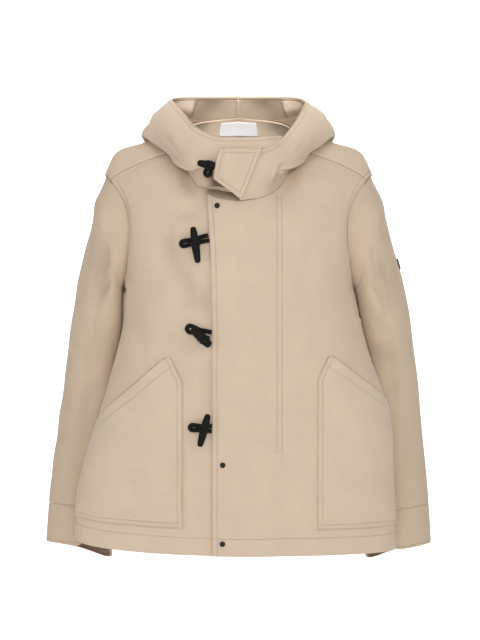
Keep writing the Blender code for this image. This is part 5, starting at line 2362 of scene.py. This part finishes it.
@dataclass
class Stitching:
    """Rows of thread, set along the lines that the pieces gave."""
    shop: Shop
    pitch: float = 0.0042
    length: float = 0.0031
    thread: float = 0.00042

    def tree(self) -> bpy.types.NodeTree:
        """The node group: a stitch at every pitch along the input's edges.

        Returns:
            The group.
        """
        group = bpy.data.node_groups.new("stitches", "GeometryNodeTree")
        face = group.interface
        face.new_socket("Geometry", in_out="INPUT", socket_type="NodeSocketGeometry")
        for title in ("Pitch", "Stitch length", "Thread radius"):
            face.new_socket(title, in_out="INPUT", socket_type="NodeSocketFloat")
        face.new_socket("Thread", in_out="INPUT", socket_type="NodeSocketMaterial")
        face.new_socket("Geometry", in_out="OUTPUT", socket_type="NodeSocketGeometry")

        def add(kind: str, settings: dict, inputs: dict) -> bpy.types.bpy_prop_collection:
            """The outputs of a new node, with its settings made and its inputs linked or set.

            Args:
                kind: the node's type.
                settings: its settings.
                inputs: sockets to link or values to set, by name or number.

            Returns:
                The outputs.
            """
            made = group.nodes.new(kind)
            for key, value in settings.items():
                setattr(made, key, value)
            for key, value in inputs.items():
                if isinstance(value, bpy.types.NodeSocket):
                    group.links.new(value, made.inputs[key])
                else:
                    made.inputs[key].default_value = value
            return made.outputs
        start = add("NodeGroupInput", {}, {})
        radius = start["Thread radius"]
        curve = add("GeometryNodeMeshToCurve", {}, {"Mesh": start["Geometry"]})
        even = add("GeometryNodeResampleCurve", {"mode": "LENGTH"},
                   {"Curve": curve["Curve"], "Length": start["Pitch"]})
        flow = add("GeometryNodeInputTangent", {}, {})
        align = add("FunctionNodeAlignRotationToVector", {"axis": "Z"}, {"Vector": flow["Tangent"]})
        bead = add("GeometryNodeMeshIcoSphere", {}, {"Radius": 1.0, "Subdivisions": 1})
        half = add("ShaderNodeMath", {"operation": "MULTIPLY"}, {0: start["Stitch length"], 1: 0.5})
        size = add("ShaderNodeCombineXYZ", {}, {"X": radius, "Y": radius, "Z": half[0]})
        place = add("GeometryNodeInstanceOnPoints", {},
                    {"Points": even["Curve"], "Instance": bead["Mesh"],
                     "Rotation": align["Rotation"], "Scale": size["Vector"]})
        real = add("GeometryNodeRealizeInstances", {}, {"Geometry": place["Instances"]})
        finish = add("GeometryNodeSetMaterial", {},
                     {"Geometry": real["Geometry"], "Material": start["Thread"]})
        add("NodeGroupOutput", {}, {"Geometry": finish["Geometry"]})
        return group

    def make(self) -> None:
        """Build one piece of thread for each group of lines."""
        group = self.tree()
        names = {item.name: item.identifier for item in group.interface.items_tree
                 if item.in_out == "INPUT"}
        for title, lines in self.shop.seams.items():
            points, edges = [], []
            for line in lines:
                base = len(points)
                points += line.tolist()
                edges += [(base + i, base + i + 1) for i in range(len(line) - 1)]
            guide = bpy.data.meshes.new(f"guide_{title}")
            guide.from_pydata(points, edges, [])
            holder = bpy.data.objects.new(f"guide_{title}", guide)
            bpy.context.scene.collection.objects.link(holder)
            modifier = holder.modifiers.new("Stitches", "NODES")
            modifier.node_group = group
            modifier[names["Pitch"]] = self.pitch
            modifier[names["Stitch length"]] = self.length
            modifier[names["Thread radius"]] = self.thread
            modifier[names["Thread"]] = self.shop.thread
            ready = holder.evaluated_get(bpy.context.evaluated_depsgraph_get())
            mesh = bpy.data.meshes.new_from_object(ready)
            bpy.data.objects.remove(holder)
            bpy.data.meshes.remove(guide)
            mesh.materials.clear()
            mesh.name = f"stitches_{title}"
            mesh.shade_smooth()
            finish_piece(f"stitches_{title}", mesh, self.shop.thread)
        bpy.data.node_groups.remove(group)


@dataclass
class Studio:
    """Camera, lights and the pale paper sweep."""
    eye: tuple = (0.0027, -3.0, -0.32)
    lens: float = 89.69
    floor_z: float = -1.30

    def camera(self) -> None:
        """The camera, level, straight in front."""
        data = bpy.data.cameras.new("camera")
        data.sensor_width = 36.0
        data.lens = self.lens
        eye = bpy.data.objects.new("camera", data)
        eye.location = self.eye
        eye.rotation_euler = (math.radians(90.0), 0.0, 0.0)
        bpy.context.scene.collection.objects.link(eye)
        bpy.context.scene.camera = eye

    def floor(self) -> None:
        """A paper sweep: floor, bend and wall in one sheet."""
        outline = [(-4.0, self.floor_z), (1.6, self.floor_z)]
        for turn in np.linspace(0.0, math.pi / 2, 14):
            outline.append((1.6 + 1.2 * math.sin(turn), self.floor_z + 1.2 * (1 - math.cos(turn))))
        outline.append((2.8, 4.0))
        points = [(x, y, z) for y, z in outline for x in (-6.0, 6.0)]
        faces = [(2 * i, 2 * i + 1, 2 * i + 3, 2 * i + 2) for i in range(len(outline) - 1)]
        mesh = smooth_mesh("backdrop", points, faces)
        mesh.materials.append(Backdrop().make())
        sweep = bpy.data.objects.new("backdrop", mesh)
        bpy.context.scene.collection.objects.link(sweep)

    def light(self, name: str, place: tuple, size: float, power: float, aim: tuple = (0, 0, -0.35),
              spread: float = math.pi) -> None:
        """One soft square light that looks at a point.

        Args:
            name: the light's name.
            place: where it hangs.
            size: its side.
            power: its watts.
            aim: the point that it looks at.
            spread: the angle of its beam, in radians.
        """
        data = bpy.data.lights.new(name, "AREA")
        data.spread = spread
        data.size = size
        data.energy = power
        lamp = bpy.data.objects.new(name, data)
        lamp.location = place
        lamp.rotation_euler = (Vector(aim) - Vector(place)).to_track_quat("-Z", "Y").to_euler()
        bpy.context.scene.collection.objects.link(lamp)

    def make(self) -> None:
        """Set up all of it."""
        self.camera()
        self.floor()
        self.light("front", (0.0, -3.5, 0.1), 1.2, 43.0)
        self.light("key", (1.9, -2.3, 0.9), 1.1, 18.0)
        self.light("side", (-2.3, -1.9, 0.1), 1.6, 13.0)
        self.light("above", (0.0, -0.6, 2.2), 1.6, 12.0)
        self.light("neck", (0.0, -0.35, 0.45), 0.2, 0.36, (0, 0.12, 0.11), 0.8)
        self.light("behind", (0.0, 0.9, 1.7), 2.2, 165.0, (0, 2.8, 1.15))
        world = bpy.data.worlds.new("studio")
        world.use_nodes = True
        sky = world.node_tree.nodes["Background"]
        sky.inputs["Color"].default_value = (1.0, 1.0, 1.0, 1.0)
        sky.inputs["Strength"].default_value = 0.30
        bpy.context.scene.world = world
        bpy.context.scene.view_settings.view_transform = "Standard"


def main() -> None:
    """Build the parka and its studio."""
    logging.basicConfig(level=logging.INFO, format="%(name)s: %(message)s")
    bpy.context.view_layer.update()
    Studio().make()
    shop = Shop()
    coat = Body(shop)
    sheets = coat.make()
    sleeves = Sleeves(shop).make()
    hood = Hood(shop).make()
    Pocket(shop, coat, Side.RIGHT, 0.1010, -0.432, 0.1330, -0.388, -0.516, -0.700, folds=(
        Fold(((-0.215, -0.560), (-0.200, -0.620), (-0.172, -0.660)), -0.0040, 0.024, 0.3),
        Fold(((-0.150, -0.450), (-0.160, -0.540), (-0.130, -0.640)), 0.0025, 0.040, 0.0))).make()
    Pocket(shop, coat, Side.LEFT, 0.1430, -0.428, 0.1720, -0.386, -0.478, -0.702, folds=(
        Fold(((0.190, -0.470), (0.215, -0.560), (0.205, -0.650)), 0.0025, 0.036, 0.0),)).make()
    Fastenings(shop, sheets["front_left"], sheets["front_right"], hood["hood_right"]).make()
    Trims(shop).make(sleeves["sleeve_left"])
    Stitching(shop).make()


if __name__ == "__main__":
    main()
